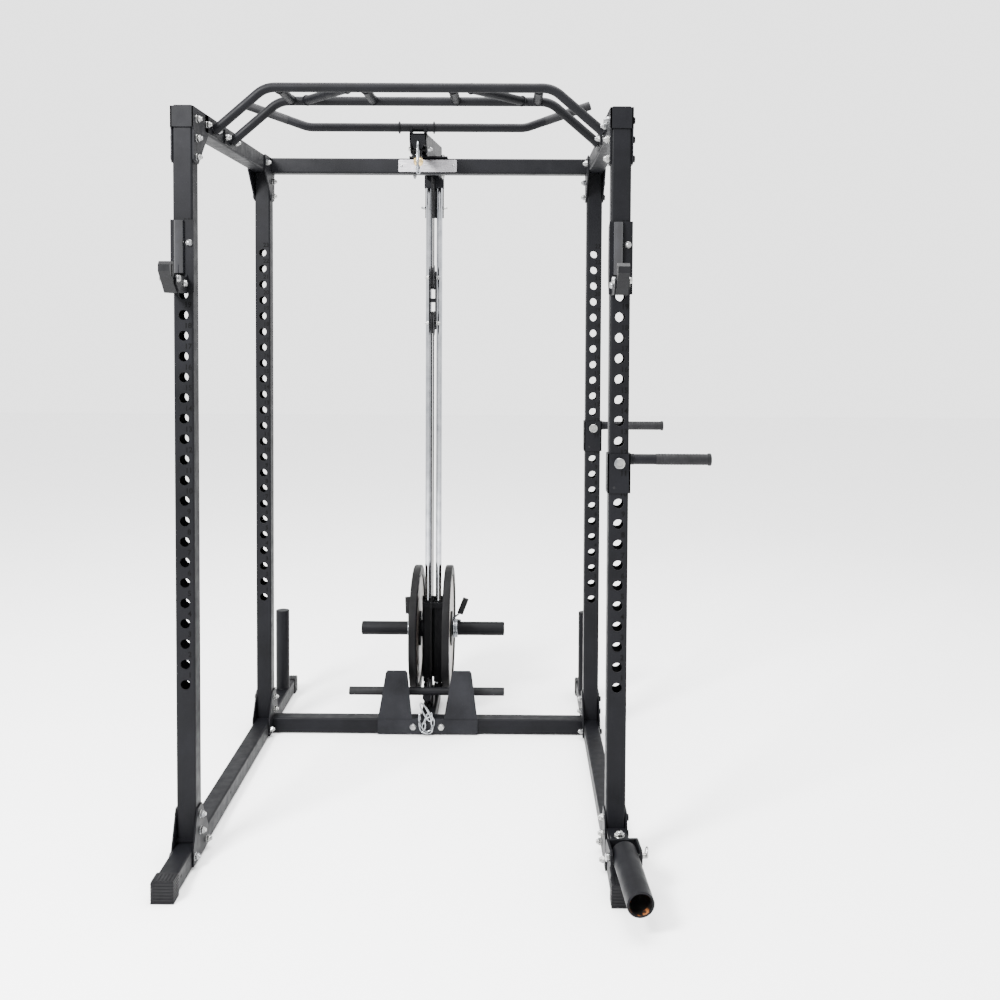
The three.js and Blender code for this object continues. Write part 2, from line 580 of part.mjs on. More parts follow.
// ---- carriage, discs and collars -------------------------------------------------------
const SLEEVE = { half: 16, low: 92, high: 382 };
const rodBores = mirrorSides.map(([, sign]) => cylinder('z', ROD_RADIUS + SLIDE_CLEARANCE,
  SLEEVE.low - 1, SLEEVE.high + 1, { x: sign * ROD_X, y: TOWER_Y }, 16));
addMesh('carriage', combine([
  ...mirrorSides.map(([, sign]) => box(sign * ROD_X - SLEEVE.half, sign * ROD_X + SLEEVE.half,
    TOWER_Y - SLEEVE.half, TOWER_Y + SLEEVE.half, SLEEVE.low, SLEEVE.high)),
  box(-41, 41, TOWER_Y + SLEEVE.half - 1, TOWER_Y + SLEEVE.half + 5, SLEEVE.low + 8, SLEEVE.high + 14),
  box(-34, 34, SHEAVE_Y + SHEAVE_RADIUS - 9, TOWER_Y - SLEEVE.half + 1, SLEEVE.high - 18, SLEEVE.high),
  ...mirrorSides.flatMap(([, sign]) => {
    const span = (a, b) => [sign * a, sign * b].sort((m, n) => m - n);
    const at = { y: TOWER_Y, z: HORN_Z };
    return [
      cylinder('x', HORN_RADIUS, ...span(ROD_X + SLEEVE.half - 1, HORN_END_X), at, 20),
      cylinder('x', 30, ...span(ROD_X + SLEEVE.half - 1, DISC_INNER_X - GAP), at, 20),
    ];
  }),
], rodBores), powderBlack);

function discGeometry() {
  const half = DISC_WIDTH / 2;
  const web = 8;
  return turned('x', [
    [DISC_BORE, -half], [62, -half], [62, -web], [190, -web], [190, -half], [DISC_RADIUS, -half],
    [DISC_RADIUS, half], [190, half], [190, web], [62, web], [62, half], [DISC_BORE, half],
    [DISC_BORE, -half],
  ], 24);
}
function collarGeometry() {
  const half = COLLAR_WIDTH / 2;
  return combine([
    turned('x', ringProfile(HORN_RADIUS + 2 * GAP, 31, -half, half), 20),
    box(-4, 4, -10, 10, 29, 62),
    box(-8, 8, -10, 10, 60, 116),
  ]);
}
const discMiddle = DISC_INNER_X + DISC_WIDTH / 2;
const collarMiddle = DISC_INNER_X + DISC_WIDTH + GAP + COLLAR_WIDTH / 2;
for (const [side, sign] of mirrorSides) {
  addMesh(`weight_disc_${side}`, discGeometry(), ironGrey, [sign * discMiddle, TOWER_Y, HORN_Z]);
  addMesh(`spring_collar_${side}`, collarGeometry(), zinc, [sign * collarMiddle, TOWER_Y, HORN_Z]);
}

// ---- bars ------------------------------------------------------------------------------
const LAT_BAR = { y: 474, z: 1964, bend: 320, end: 510, rise: 66 };
addMesh('lat_bar', combine([
  ...bentPipe([[-LAT_BAR.end, 0, LAT_BAR.rise], [-LAT_BAR.bend, 0, 0], [LAT_BAR.bend, 0, 0],
    [LAT_BAR.end, 0, LAT_BAR.rise]], 13, 12),
  cylinder('x', 18, -58, -54, {}, 16),
  cylinder('x', 18, 54, 58, {}, 16),
]), powderBlack, [-5, LAT_BAR.y, LAT_BAR.z]);

const LOW_BAR = { y: 900, z: 127, half: 265 };
addMesh('low_row_bar', combine([
  cylinder('x', HANDLE_RADIUS, -LOW_BAR.half, LOW_BAR.half, {}, 16),
  outlineAlongX([[-3, -10], [-3, -34], [3, -34], [3, -10]], -14, 14),
], [cylinder('y', 5, -10, 10, { x: 0, z: -26 }, 8)]), powderBlack, [-6, LOW_BAR.y, LOW_BAR.z]);

// ---- cables and chain ------------------------------------------------------------------
const cableEndY = FRONT_PULLEY.y - FRONT_PULLEY.radius;
const BALL_Z = 1860;
addMesh('lat_cable_end', combine([
  new THREE.SphereGeometry(15, 14, 10).translate(0, cableEndY, BALL_Z),
  cylinder('z', 4, BALL_Z - 24, BALL_Z, { x: 0, y: cableEndY }, 10),
  cylinder('z', CABLE_RADIUS, BALL_Z, FRONT_PULLEY.z - GAP, { x: 0, y: cableEndY }, 8),
  outlineAlongX([[0, -5], [0, 5], [-26, 5], [-26, -5]], -4, 4).translate(0, cableEndY, BALL_Z - 22),
  turned('y', ringProfile(8, 12, -4, 4), 14).scale(1, 1, 3.6).translate(0, cableEndY - 26, 1880),
]), chrome);
// A cable is made of straight runs and wraps round its pulleys, each a little into the next.
const CABLE_SIDES = 6;
const JOIN = 0.6;
function cableRun(from, to) {
  return straightPipe(from, to, CABLE_RADIUS, CABLE_SIDES);
}
function cableWrap(pulley, from, to, count) {
  return sweptTube(arcPoints(pulley, pulley.radius, from, to, count), CABLE_RADIUS, CABLE_SIDES, count);
}
const topAngle = Math.PI / 2 + 0.077;
const topStart = arcPoints(FRONT_PULLEY, FRONT_PULLEY.radius, topAngle, topAngle, 1)[0];
const topEnd = arcPoints(REAR_PULLEY, REAR_PULLEY.radius, topAngle, topAngle, 1)[0];
addMesh('lat_cable_top', combine([
  cableWrap(FRONT_PULLEY, Math.PI - 0.04, topAngle - 0.02, 5),
  cableRun(topStart, topEnd),
  cableWrap(REAR_PULLEY, topAngle + 0.02, 0.04, 6),
]), plasticBlack);

const sheaveRear = SHEAVE_Y + SHEAVE_RADIUS;
const sheaveFront = SHEAVE_Y - SHEAVE_RADIUS;
const upperSheave = sheaveAt(UPPER_SHEAVE_Z);
const lowerSheave = sheaveAt(LOWER_SHEAVE_Z);
addMesh('lat_cable_loop', combine([
  cableRun([0, sheaveRear, REAR_PULLEY.z - 1], [0, sheaveRear, UPPER_SHEAVE_Z - JOIN]),
  cableWrap(upperSheave, 0, -Math.PI, 10),
  cableRun([0, sheaveFront, UPPER_SHEAVE_Z - JOIN], [0, sheaveFront, 1909]),
]), plasticBlack);

const lowY = LOW_PULLEY.y;
const lowZ = LOW_PULLEY.z - LOW_PULLEY.radius;
addMesh('row_cable', combine([
  cableRun([0, sheaveRear, SLEEVE.high + GAP], [0, sheaveRear, LOWER_SHEAVE_Z + JOIN]),
  cableWrap(lowerSheave, 0, Math.PI, 10),
  cableRun([0, sheaveFront, LOWER_SHEAVE_Z + JOIN], [0, sheaveFront, LOW_PULLEY.z - JOIN]),
  cableWrap(LOW_PULLEY, 0, -Math.PI / 2, 6),
  cableRun([0, lowY + JOIN, lowZ], [0, 926, lowZ]),
]), plasticBlack);

const CHAIN_Y = DEPTH - 14;
addMesh('row_chain', sweptTube([
  [-26, CHAIN_Y, 70], [-24, CHAIN_Y, 40], [-14, CHAIN_Y, 16], [0, CHAIN_Y, 10], [12, CHAIN_Y, 18],
  [20, CHAIN_Y, 44], [20, CHAIN_Y, 74],
], 4.5, 8, 24), chrome);

// ---- place the whole cage --------------------------------------------------------------
cage.updateMatrixWorld(true);
const bounds = new THREE.Box3().setFromObject(cage, true);
const middle = bounds.getCenter(new THREE.Vector3());
cage.position.set(-middle.x, -middle.y, -bounds.min.z);

export default cage;
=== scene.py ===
"""Looks for the power cage: rounded tubes, bolts, cables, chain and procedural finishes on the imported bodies.

Sizes inside the shape helpers are millimetres in the cage's own frame: X from the middle of the front
uprights, Y back from their front faces, Z up from the floor. Piece.place() turns them into the row frame.
"""
import math

import bmesh
import bpy
from mathutils import Matrix, Vector


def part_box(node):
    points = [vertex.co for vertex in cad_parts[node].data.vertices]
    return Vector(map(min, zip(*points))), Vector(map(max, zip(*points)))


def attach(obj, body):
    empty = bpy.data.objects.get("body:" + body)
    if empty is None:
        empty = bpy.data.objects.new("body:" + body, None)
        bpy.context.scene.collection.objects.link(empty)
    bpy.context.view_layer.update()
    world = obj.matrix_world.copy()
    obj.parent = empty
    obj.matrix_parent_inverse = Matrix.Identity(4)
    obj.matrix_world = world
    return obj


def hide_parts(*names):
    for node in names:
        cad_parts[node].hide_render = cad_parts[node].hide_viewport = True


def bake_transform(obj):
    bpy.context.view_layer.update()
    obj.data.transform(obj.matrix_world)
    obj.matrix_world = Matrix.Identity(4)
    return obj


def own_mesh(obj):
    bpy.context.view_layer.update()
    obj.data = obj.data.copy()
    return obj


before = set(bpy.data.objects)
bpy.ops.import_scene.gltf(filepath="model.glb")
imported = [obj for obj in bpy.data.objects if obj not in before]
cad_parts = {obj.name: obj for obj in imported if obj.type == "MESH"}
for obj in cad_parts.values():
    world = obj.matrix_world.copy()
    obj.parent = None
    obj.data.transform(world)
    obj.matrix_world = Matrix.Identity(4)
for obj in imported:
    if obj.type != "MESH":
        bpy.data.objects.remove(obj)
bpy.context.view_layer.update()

MM = 0.001
left_low, left_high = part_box("upright_front_left")
right_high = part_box("upright_front_right")[1]
ORIGIN = Vector(((left_low.x + right_high.x) / 2, left_low.y, 0))


def at(x, y, z):
    """A point of the cage's own frame, in millimetres, as a point of the row frame."""
    return ORIGIN + Vector((x, y, z)) * MM


def middle(node):
    """The middle of a CAD node's box, in millimetres in the cage's own frame."""
    low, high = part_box(node)
    return [round(value, 1) for value in ((low + high) / 2 - ORIGIN) / MM]


def add_object(name, data):
    thing = bpy.data.objects.new(name, data)
    bpy.context.scene.collection.objects.link(thing)
    return thing


# ---- driving sizes, read from the frame -------------------------------------------------
SIDES = (("left", -1), ("right", 1))
TUBE = round((left_high.x - left_low.x) / MM, 1)
HEIGHT = round(left_high.z / MM, 1)
POST_X = middle("upright_front_right")[0]
DEPTH = middle("upright_rear_left")[1] - middle("upright_front_left")[1]
BACK_FACE = DEPTH + TUBE
RAIL_Z = middle("base_rear_crossmember")[2]
PEG_Y = middle("storage_peg_left")[1]
ROD_X, TOWER_Y, _ = middle("guide_rod_right")
HORN_Z = middle("weight_disc_left")[2]
FRONT_SHEAVE = (*middle("front_pulley")[1:], 30)
REAR_SHEAVE = (*middle("rear_pulley")[1:], 32)
LOW_SHEAVE = (*middle("low_pulley")[1:], 40)
UPPER_SHEAVE = (*middle("upper_floating_pulley")[1:], 40)
LOWER_SHEAVE = (*middle("lower_floating_pulley")[1:], 40)
BLOCK_Y, REST_TOP, SHEAVE_RADIUS = UPPER_SHEAVE
REST_BOTTOM = LOWER_SHEAVE[1]
NEAR_Y, FAR_Y = BLOCK_Y - SHEAVE_RADIUS, BLOCK_Y + SHEAVE_RADIUS
HANDLE_Y = FRONT_SHEAVE[0] - FRONT_SHEAVE[2]

WALL = 3
AXLE_RADIUS = 5
CABLE_RADIUS = 2.5
ROD_TOP_Z = 1865
GAP = 0.3
PLATE = 4
PLATE_IN = TUBE / 2 + GAP
PLATE_OUT = PLATE_IN + PLATE
TOP_RAIL_Z = HEIGHT - TUBE / 2
HOLE_NUMBERS = range(1, 24)
HOLE_RADIUS = 12.5
FIRST_HOLE_Z = 464
HOLE_PITCH = 52.4
PIN_HOLE, HOOK_HOLE = 12, 21


def hole_z(number):
    return FIRST_HOLE_Z + (number - 1) * HOLE_PITCH


# ---- camera, floor and light ------------------------------------------------------------
def make_camera():
    """The photograph's camera, right of the cage's middle and looking slightly down."""
    yaw, pitch, roll = 0.007, 0.036, 0.005
    right = Vector((math.cos(yaw), math.sin(yaw), 0))
    level = Vector((-math.sin(yaw), math.cos(yaw), 0))
    forward = level * math.cos(pitch) - Vector((0, 0, math.sin(pitch)))
    up = level * math.sin(pitch) + Vector((0, 0, math.cos(pitch)))
    rolled_right = right * math.cos(roll) + up * math.sin(roll)
    rolled_up = up * math.cos(roll) - right * math.sin(roll)
    data = bpy.data.cameras.new("camera")
    data.sensor_width = 36
    data.lens = 37.518
    data.shift_x = -0.00385
    data.shift_y = -0.14355
    place = at(276.566, -2621.196, 1401.277)
    camera = add_object("camera", data)
    turn = Matrix((rolled_right, rolled_up, -forward)).transposed().to_4x4()
    camera.matrix_world = Matrix.Translation(place) @ turn
    bpy.context.scene.camera = camera


def area_light(name, place, target, size, power):
    data = bpy.data.lights.new(name, "AREA")
    data.energy = power
    data.size = size
    light = add_object(name, data)
    light.location = place
    light.rotation_euler = (target - place).to_track_quat("-Z", "Y").to_euler()


def make_studio():
    world = bpy.data.worlds.new("studio")
    world.use_nodes = True
    backdrop = world.node_tree.nodes["Background"]
    backdrop.inputs["Color"].default_value = (1, 1, 1, 1)
    backdrop.inputs["Strength"].default_value = 2.7
    bpy.context.scene.world = world
    centre = at(0, 450, 900)
    area_light("key", at(-1900, -2300, 3300), centre, 1.1, 620)
    area_light("top", at(200, 300, 3900), centre, 2.4, 330)
    area_light("rim", at(2600, 1800, 2300), centre, 1.4, 8)
    mesh = bpy.data.meshes.new("floor")
    half = 12
    corners = [(-half, -half, 0), (half, -half, 0), (half, half, 0), (-half, half, 0)]
    mesh.from_pydata(corners, [], [(0, 1, 2, 3)])
    floor = add_object("floor", mesh)
    mesh.materials.append(floor_paint())


# ---- materials --------------------------------------------------------------------------
# The Mix node's colour sockets, which share their names with its other sockets.
MIX_COLOURS = (6, 7)
MIX_RESULT = 2


class Finish:
    """A Principled material whose colour, roughness and bump come from noise in object space."""

    def __init__(self, name, metallic=0.0, sockets=None):
        self.material = bpy.data.materials.new(name)
        self.material.use_nodes = True
        self.nodes = self.material.node_tree.nodes
        self.links = self.material.node_tree.links
        self.shader = self.nodes["Principled BSDF"]
        self.shader.inputs["Metallic"].default_value = metallic
        for socket, value in (sockets or {}).items():
            self.shader.inputs[socket].default_value = value
        self.place = self.nodes.new("ShaderNodeTexCoord").outputs["Object"]

    def node(self, kind, output, **inputs):
        """Adds a node, with each input a socket or a value, and returns one of its outputs."""
        node = self.nodes.new("ShaderNode" + kind)
        for name, value in inputs.items():
            socket = node.inputs[name.replace("_", " ")]
            if isinstance(value, bpy.types.NodeSocket):
                self.links.new(value, socket)
            else:
                socket.default_value = value
        return node.outputs[output]

    def noise(self, scale, detail=3.0, roughness=0.5, stretch=None):
        place = self.node("Mapping", "Vector", Scale=stretch, Vector=self.place) if stretch else self.place
        return self.node("TexNoise", "Fac", Scale=scale, Detail=detail, Roughness=roughness, Vector=place)

    def cells(self, scale):
        return self.node("TexVoronoi", "Distance", Scale=scale, Vector=self.place)

    def spread(self, value, low, high, from_low=0.3, from_high=0.7):
        """Maps a noise value onto a range."""
        return self.node("MapRange", "Result", Value=value, From_Min=from_low, From_Max=from_high,
                         To_Min=low, To_Max=high)

    def blend(self, amount, first, second):
        """Mixes two colours, either of which may be a socket."""
        node = self.nodes.new("ShaderNodeMix")
        node.data_type = "RGBA"
        self.links.new(amount, node.inputs["Factor"])
        for index, colour in zip(MIX_COLOURS, (first, second)):
            if isinstance(colour, bpy.types.NodeSocket):
                self.links.new(colour, node.inputs[index])
            else:
                node.inputs[index].default_value = (*colour, 1)
        return node.outputs[MIX_RESULT]

    def colour(self, value):
        self.links.new(value, self.shader.inputs["Base Color"])
        return self

    def rough(self, value):
        self.links.new(value, self.shader.inputs["Roughness"])
        return self

    def bump(self, height, strength, distance):
        """The distance is in metres."""
        normal = self.node("Bump", "Normal", Strength=strength, Distance=distance, Height=height)
        self.links.new(normal, self.shader.inputs["Normal"])
        return self


def floor_paint():
    finish = Finish("floor_paint", sockets={"Specular IOR Level": 0.1})
    finish.colour(finish.blend(finish.noise(1.5), (0.92, 0.92, 0.925), (0.94, 0.94, 0.94)))
    return finish.rough(finish.spread(finish.noise(4), 0.75, 0.9)).material


def coat(name, dark, light, rough, grain, strength):
    """Painted metal: mottled colour, fine dust specks and an orange-peel bump."""
    finish = Finish(name, sockets={"Specular IOR Level": 0.07})
    mottled = finish.blend(finish.spread(finish.noise(9, 4), 0, 1), dark, light)
    specks = finish.spread(finish.noise(420, 2), 0, 0.5, 0.66, 0.74)
    finish.colour(finish.blend(specks, mottled, [min(1, 2.6 * c) for c in light]))
    finish.rough(finish.spread(finish.noise(35, 4), *rough))
    return finish.bump(finish.noise(grain, 2), strength, 0.0004).material


def bare_metal(name, dark, light, rough, stretch=None, scale=60):
    finish = Finish(name, metallic=1.0)
    finish.colour(finish.blend(finish.spread(finish.noise(scale / 3, 4), 0, 1), dark, light))
    finish.rough(finish.spread(finish.noise(scale, 4, 0.6, stretch), *rough))
    return finish.bump(finish.noise(scale * 8, 2, 0.5, stretch), 0.06, 0.0001).material


def rubber(name, dark, light, rough, grain, gloss=0.12):
    finish = Finish(name, sockets={"Specular IOR Level": gloss})
    finish.colour(finish.blend(finish.spread(finish.noise(25, 4), 0, 1), dark, light))
    finish.rough(finish.spread(finish.noise(60, 3), *rough))
    return finish.bump(finish.cells(grain), 0.12, 0.0003).material


def hammered_disc_face():
    finish = Finish("disc_face", metallic=0.75)
    warm = finish.blend(finish.spread(finish.noise(14, 4), 0, 1), (0.13, 0.118, 0.105), (0.22, 0.2, 0.182))
    stains = finish.spread(finish.noise(55, 5), 0, 0.7, 0.58, 0.75)
    finish.colour(finish.blend(stains, warm, (0.07, 0.058, 0.05)))
    finish.rough(finish.spread(finish.noise(30), 0.35, 0.55))
    return finish.bump(finish.cells(160), 0.15, 0.0006).material


def worn_bore():
    """Black paint inside the landmine tube, with coppery noise patches that paint in the orange glint deep in
    the bore (painted glint).
    """
    finish = Finish("worn_bore", metallic=0.3)
    # Where the copper colour shows through the black: a painted glint.
    glint_patches = finish.spread(finish.noise(26, 4, 0.6), 0, 1, 0.56, 0.68)
    finish.colour(finish.blend(glint_patches, (0.006, 0.006, 0.006), (0.5, 0.17, 0.05)))
    finish.rough(finish.spread(finish.noise(60), 0.3, 0.5))
    return finish.bump(finish.noise(300), 0.2, 0.0004).material


def cable_jacket():
    """Black nylon over a laid wire rope: fine twist lines show through it."""
    finish = Finish("cable_jacket", sockets={
        "Specular IOR Level": 0.12, "Coat Weight": 0.04, "Coat Roughness": 0.2})
    lay = finish.noise(700, 1, 0.5, (1, 1, 0.35))
    finish.colour(finish.blend(finish.spread(lay, 0, 1), (0.0015, 0.0015, 0.0018), (0.008, 0.008, 0.009)))
    finish.rough(finish.spread(finish.noise(90), 0.3, 0.42))
    return finish.bump(lay, 0.3, 0.0003).material


POWDER = coat("powder_coat", (0.0024, 0.0025, 0.0031), (0.0042, 0.0043, 0.0054), (0.42, 0.56), 900, 0.16)
TEXTURED = coat("textured_coat", (0.0048, 0.005, 0.006), (0.013, 0.0133, 0.0155), (0.55, 0.72), 260, 0.75)
CAST_RIM = coat("disc_rim", (0.0014, 0.0014, 0.0016), (0.0036, 0.0036, 0.004), (0.42, 0.6), 300, 0.35)
NUMBER = coat("number_ink", (0.0002, 0.0002, 0.0002), (0.0005, 0.0005, 0.0005), (0.6, 0.8), 900, 0.1)
PLASTIC = rubber("foot_plastic", (0.003, 0.003, 0.0036), (0.006, 0.006, 0.0068), (0.48, 0.62), 500)
GRIP = rubber("grip_rubber", (0.004, 0.004, 0.0045), (0.009, 0.009, 0.01), (0.5, 0.7), 380)
PAD = rubber("hook_liner", (0.0025, 0.0025, 0.003), (0.005, 0.0052, 0.006), (0.35, 0.45), 240)
LINER = rubber("glossy_liner", (0.003, 0.003, 0.004), (0.006, 0.0063, 0.008), (0.1, 0.18), 240, 0.55)
NYLON = rubber("pulley_nylon", (0.006, 0.006, 0.007), (0.013, 0.013, 0.0145), (0.32, 0.45), 300)
CHROME = bare_metal("chrome_rod", (0.26, 0.27, 0.29), (0.4, 0.41, 0.43), (0.04, 0.11), (1, 1, 0.05), 80)
ZINC = bare_metal("zinc_hardware", (0.15, 0.155, 0.165), (0.33, 0.33, 0.315), (0.16, 0.34), None, 140)
STEEL = bare_metal("link_steel", (0.18, 0.19, 0.2), (0.34, 0.35, 0.37), (0.14, 0.28), None, 120)
SILVER = bare_metal("silver_plate", (0.36, 0.35, 0.37), (0.46, 0.45, 0.47), (0.26, 0.4), (0.08, 1, 1), 300)
BRASS = bare_metal("brass_ring", (0.55, 0.38, 0.14), (0.72, 0.52, 0.22), (0.2, 0.34), None, 90)
BORE = worn_bore()
DISC_FACE = hammered_disc_face()
CABLE = cable_jacket()


# ---- shapes -----------------------------------------------------------------------------
def ellipse(width, height, count, start=0.0):
    """Points round an ellipse. The first is at an angle of start steps."""
    angles = [2 * math.pi * (k + start) / count for k in range(count)]
    return [(width * math.cos(a), height * math.sin(a)) for a in angles]


def symmetric(profile):
    """The first half of a profile and its mirror image along the axis."""
    return profile + [(radius, -height) for radius, height in reversed(profile)]


def cylinder_profile(radius, half):
    return symmetric([(0, -half), (radius, -half)])


def facing(direction):
    """The turn that points Z along a direction."""
    return Vector((0, 0, 1)).rotation_difference(Vector(direction)).to_matrix().to_4x4()


def lathe_shape(profile, sides):
    """A [radius, height] profile turned about Z. A profile that ends where it starts is a ring."""
    shape = bmesh.new()
    closed = profile[0] == profile[-1]
    rings = []
    for radius, height in profile[:-1] if closed else profile:
        if radius < 1e-6:
            rings.append([shape.verts.new((0, 0, height))])
            continue
        rings.append([shape.verts.new((u, v, height)) for u, v in ellipse(radius, radius, sides)])
    pairs = list(zip(rings, rings[1:]))
    if closed:
        pairs.append((rings[-1], rings[0]))
    for lower, upper in pairs:
        for k in range(sides):
            n = (k + 1) % sides
            corners = [lower[k % len(lower)], lower[n % len(lower)],
                       upper[n % len(upper)], upper[k % len(upper)]]
            unique = list(dict.fromkeys(corners))
            if len(unique) > 2:
                shape.faces.new(unique)
    return shape


def prism_shape(outline, low, high):
    shape = bmesh.new()
    floor = [shape.verts.new((u, v, low)) for u, v in outline]
    roof = [shape.verts.new((u, v, high)) for u, v in outline]
    shape.faces.new(floor)
    shape.faces.new(roof)
    for k in range(len(outline)):
        n = (k + 1) % len(outline)
        shape.faces.new([floor[k], floor[n], roof[n], roof[k]])
    return shape


def tube_shape(outer, inner, low, high):
    """A tube between two loops with the same number of points."""
    shape = bmesh.new()
    loops = [[shape.verts.new((u, v, w)) for u, v in loop]
             for loop, w in ((outer, low), (outer, high), (inner, high), (inner, low))]
    for first, second in zip(loops, loops[1:] + loops[:1]):
        for k in range(len(outer)):
            n = (k + 1) % len(outer)
            shape.faces.new([first[k], first[n], second[n], second[k]])
    return shape


def square_tube_shape(low, high):
    """A length of the cage's square tube, with rounded corners."""
    inside = TUBE - 2 * WALL
    return tube_shape(rounded_rectangle(TUBE, TUBE, 5.5), rounded_rectangle(inside, inside, 2.5), low, high)


def rounded_rectangle(width, depth, radius, steps=5):
    points = []
    for quarter, (sx, sy) in enumerate(((1, 1), (-1, 1), (-1, -1), (1, -1))):
        centre = (sx * (width / 2 - radius), sy * (depth / 2 - radius))
        for k in range(steps + 1):
            angle = math.pi / 2 * (quarter + k / steps)
            points.append((centre[0] + radius * math.cos(angle), centre[1] + radius * math.sin(angle)))
    return points


def bend_corners(points, radius, steps=7):
    """The polyline with each inner corner turned through a smooth bend."""
    points = [Vector(p) for p in points]
    path = [points[0]]
    for before, corner, after in zip(points, points[1:], points[2:]):
        back, ahead = before - corner, after - corner
        turn = math.pi - back.angle(ahead)
        reach = min(radius * math.tan(turn / 2), 0.48 * back.length, 0.48 * ahead.length)
        start = corner + back.normalized() * reach
        end = corner + ahead.normalized() * reach
        for k in range(steps + 1):
            t = k / steps
            path.append(start * (1 - t) ** 2 + corner * 2 * t * (1 - t) + end * t ** 2)
    return path + [points[-1]]


def sweep_shape(path, radius, sides=20, closed=False):
    """A round bar along a path, with flat ends unless the path is closed."""
    path = [Vector(p) for p in path]
    count = len(path)
    shape = bmesh.new()
    rings = []
    side = None
    for k, point in enumerate(path):
        if closed:
            along = path[(k + 1) % count] - path[k - 1]
        else:
            along = path[min(k + 1, count - 1)] - path[max(k - 1, 0)]
        along.normalize()
        if side is None:
            side = along.orthogonal()
        side = (side - along * side.dot(along)).normalized()
        other = along.cross(side)
        rings.append([shape.verts.new(point + (side * u + other * v) * radius)
                      for u, v in ellipse(1, 1, sides)])
    for lower, upper in zip(rings, rings[1:]):
        for j in range(sides):
            n = (j + 1) % sides
            shape.faces.new([lower[j], lower[n], upper[n], upper[j]])
    if closed:
        first, last = rings[0], rings[-1]
        offset = min(range(sides), key=lambda s: (first[s].co - last[0].co).length)
        for j in range(sides):
            n = (j + 1) % sides
            shape.faces.new([last[j], last[n], first[(n + offset) % sides], first[(j + offset) % sides]])
    else:
        shape.faces.new(rings[0])
        shape.faces.new(rings[-1])
    return shape


AXES = {
    "x": Matrix(((0, 0, 1, 0), (1, 0, 0, 0), (0, 1, 0, 0), (0, 0, 0, 1))),
    "y": Matrix(((1, 0, 0, 0), (0, 0, 1, 0), (0, 1, 0, 0), (0, 0, 0, 1))),
    "z": Matrix.Identity(4),
}


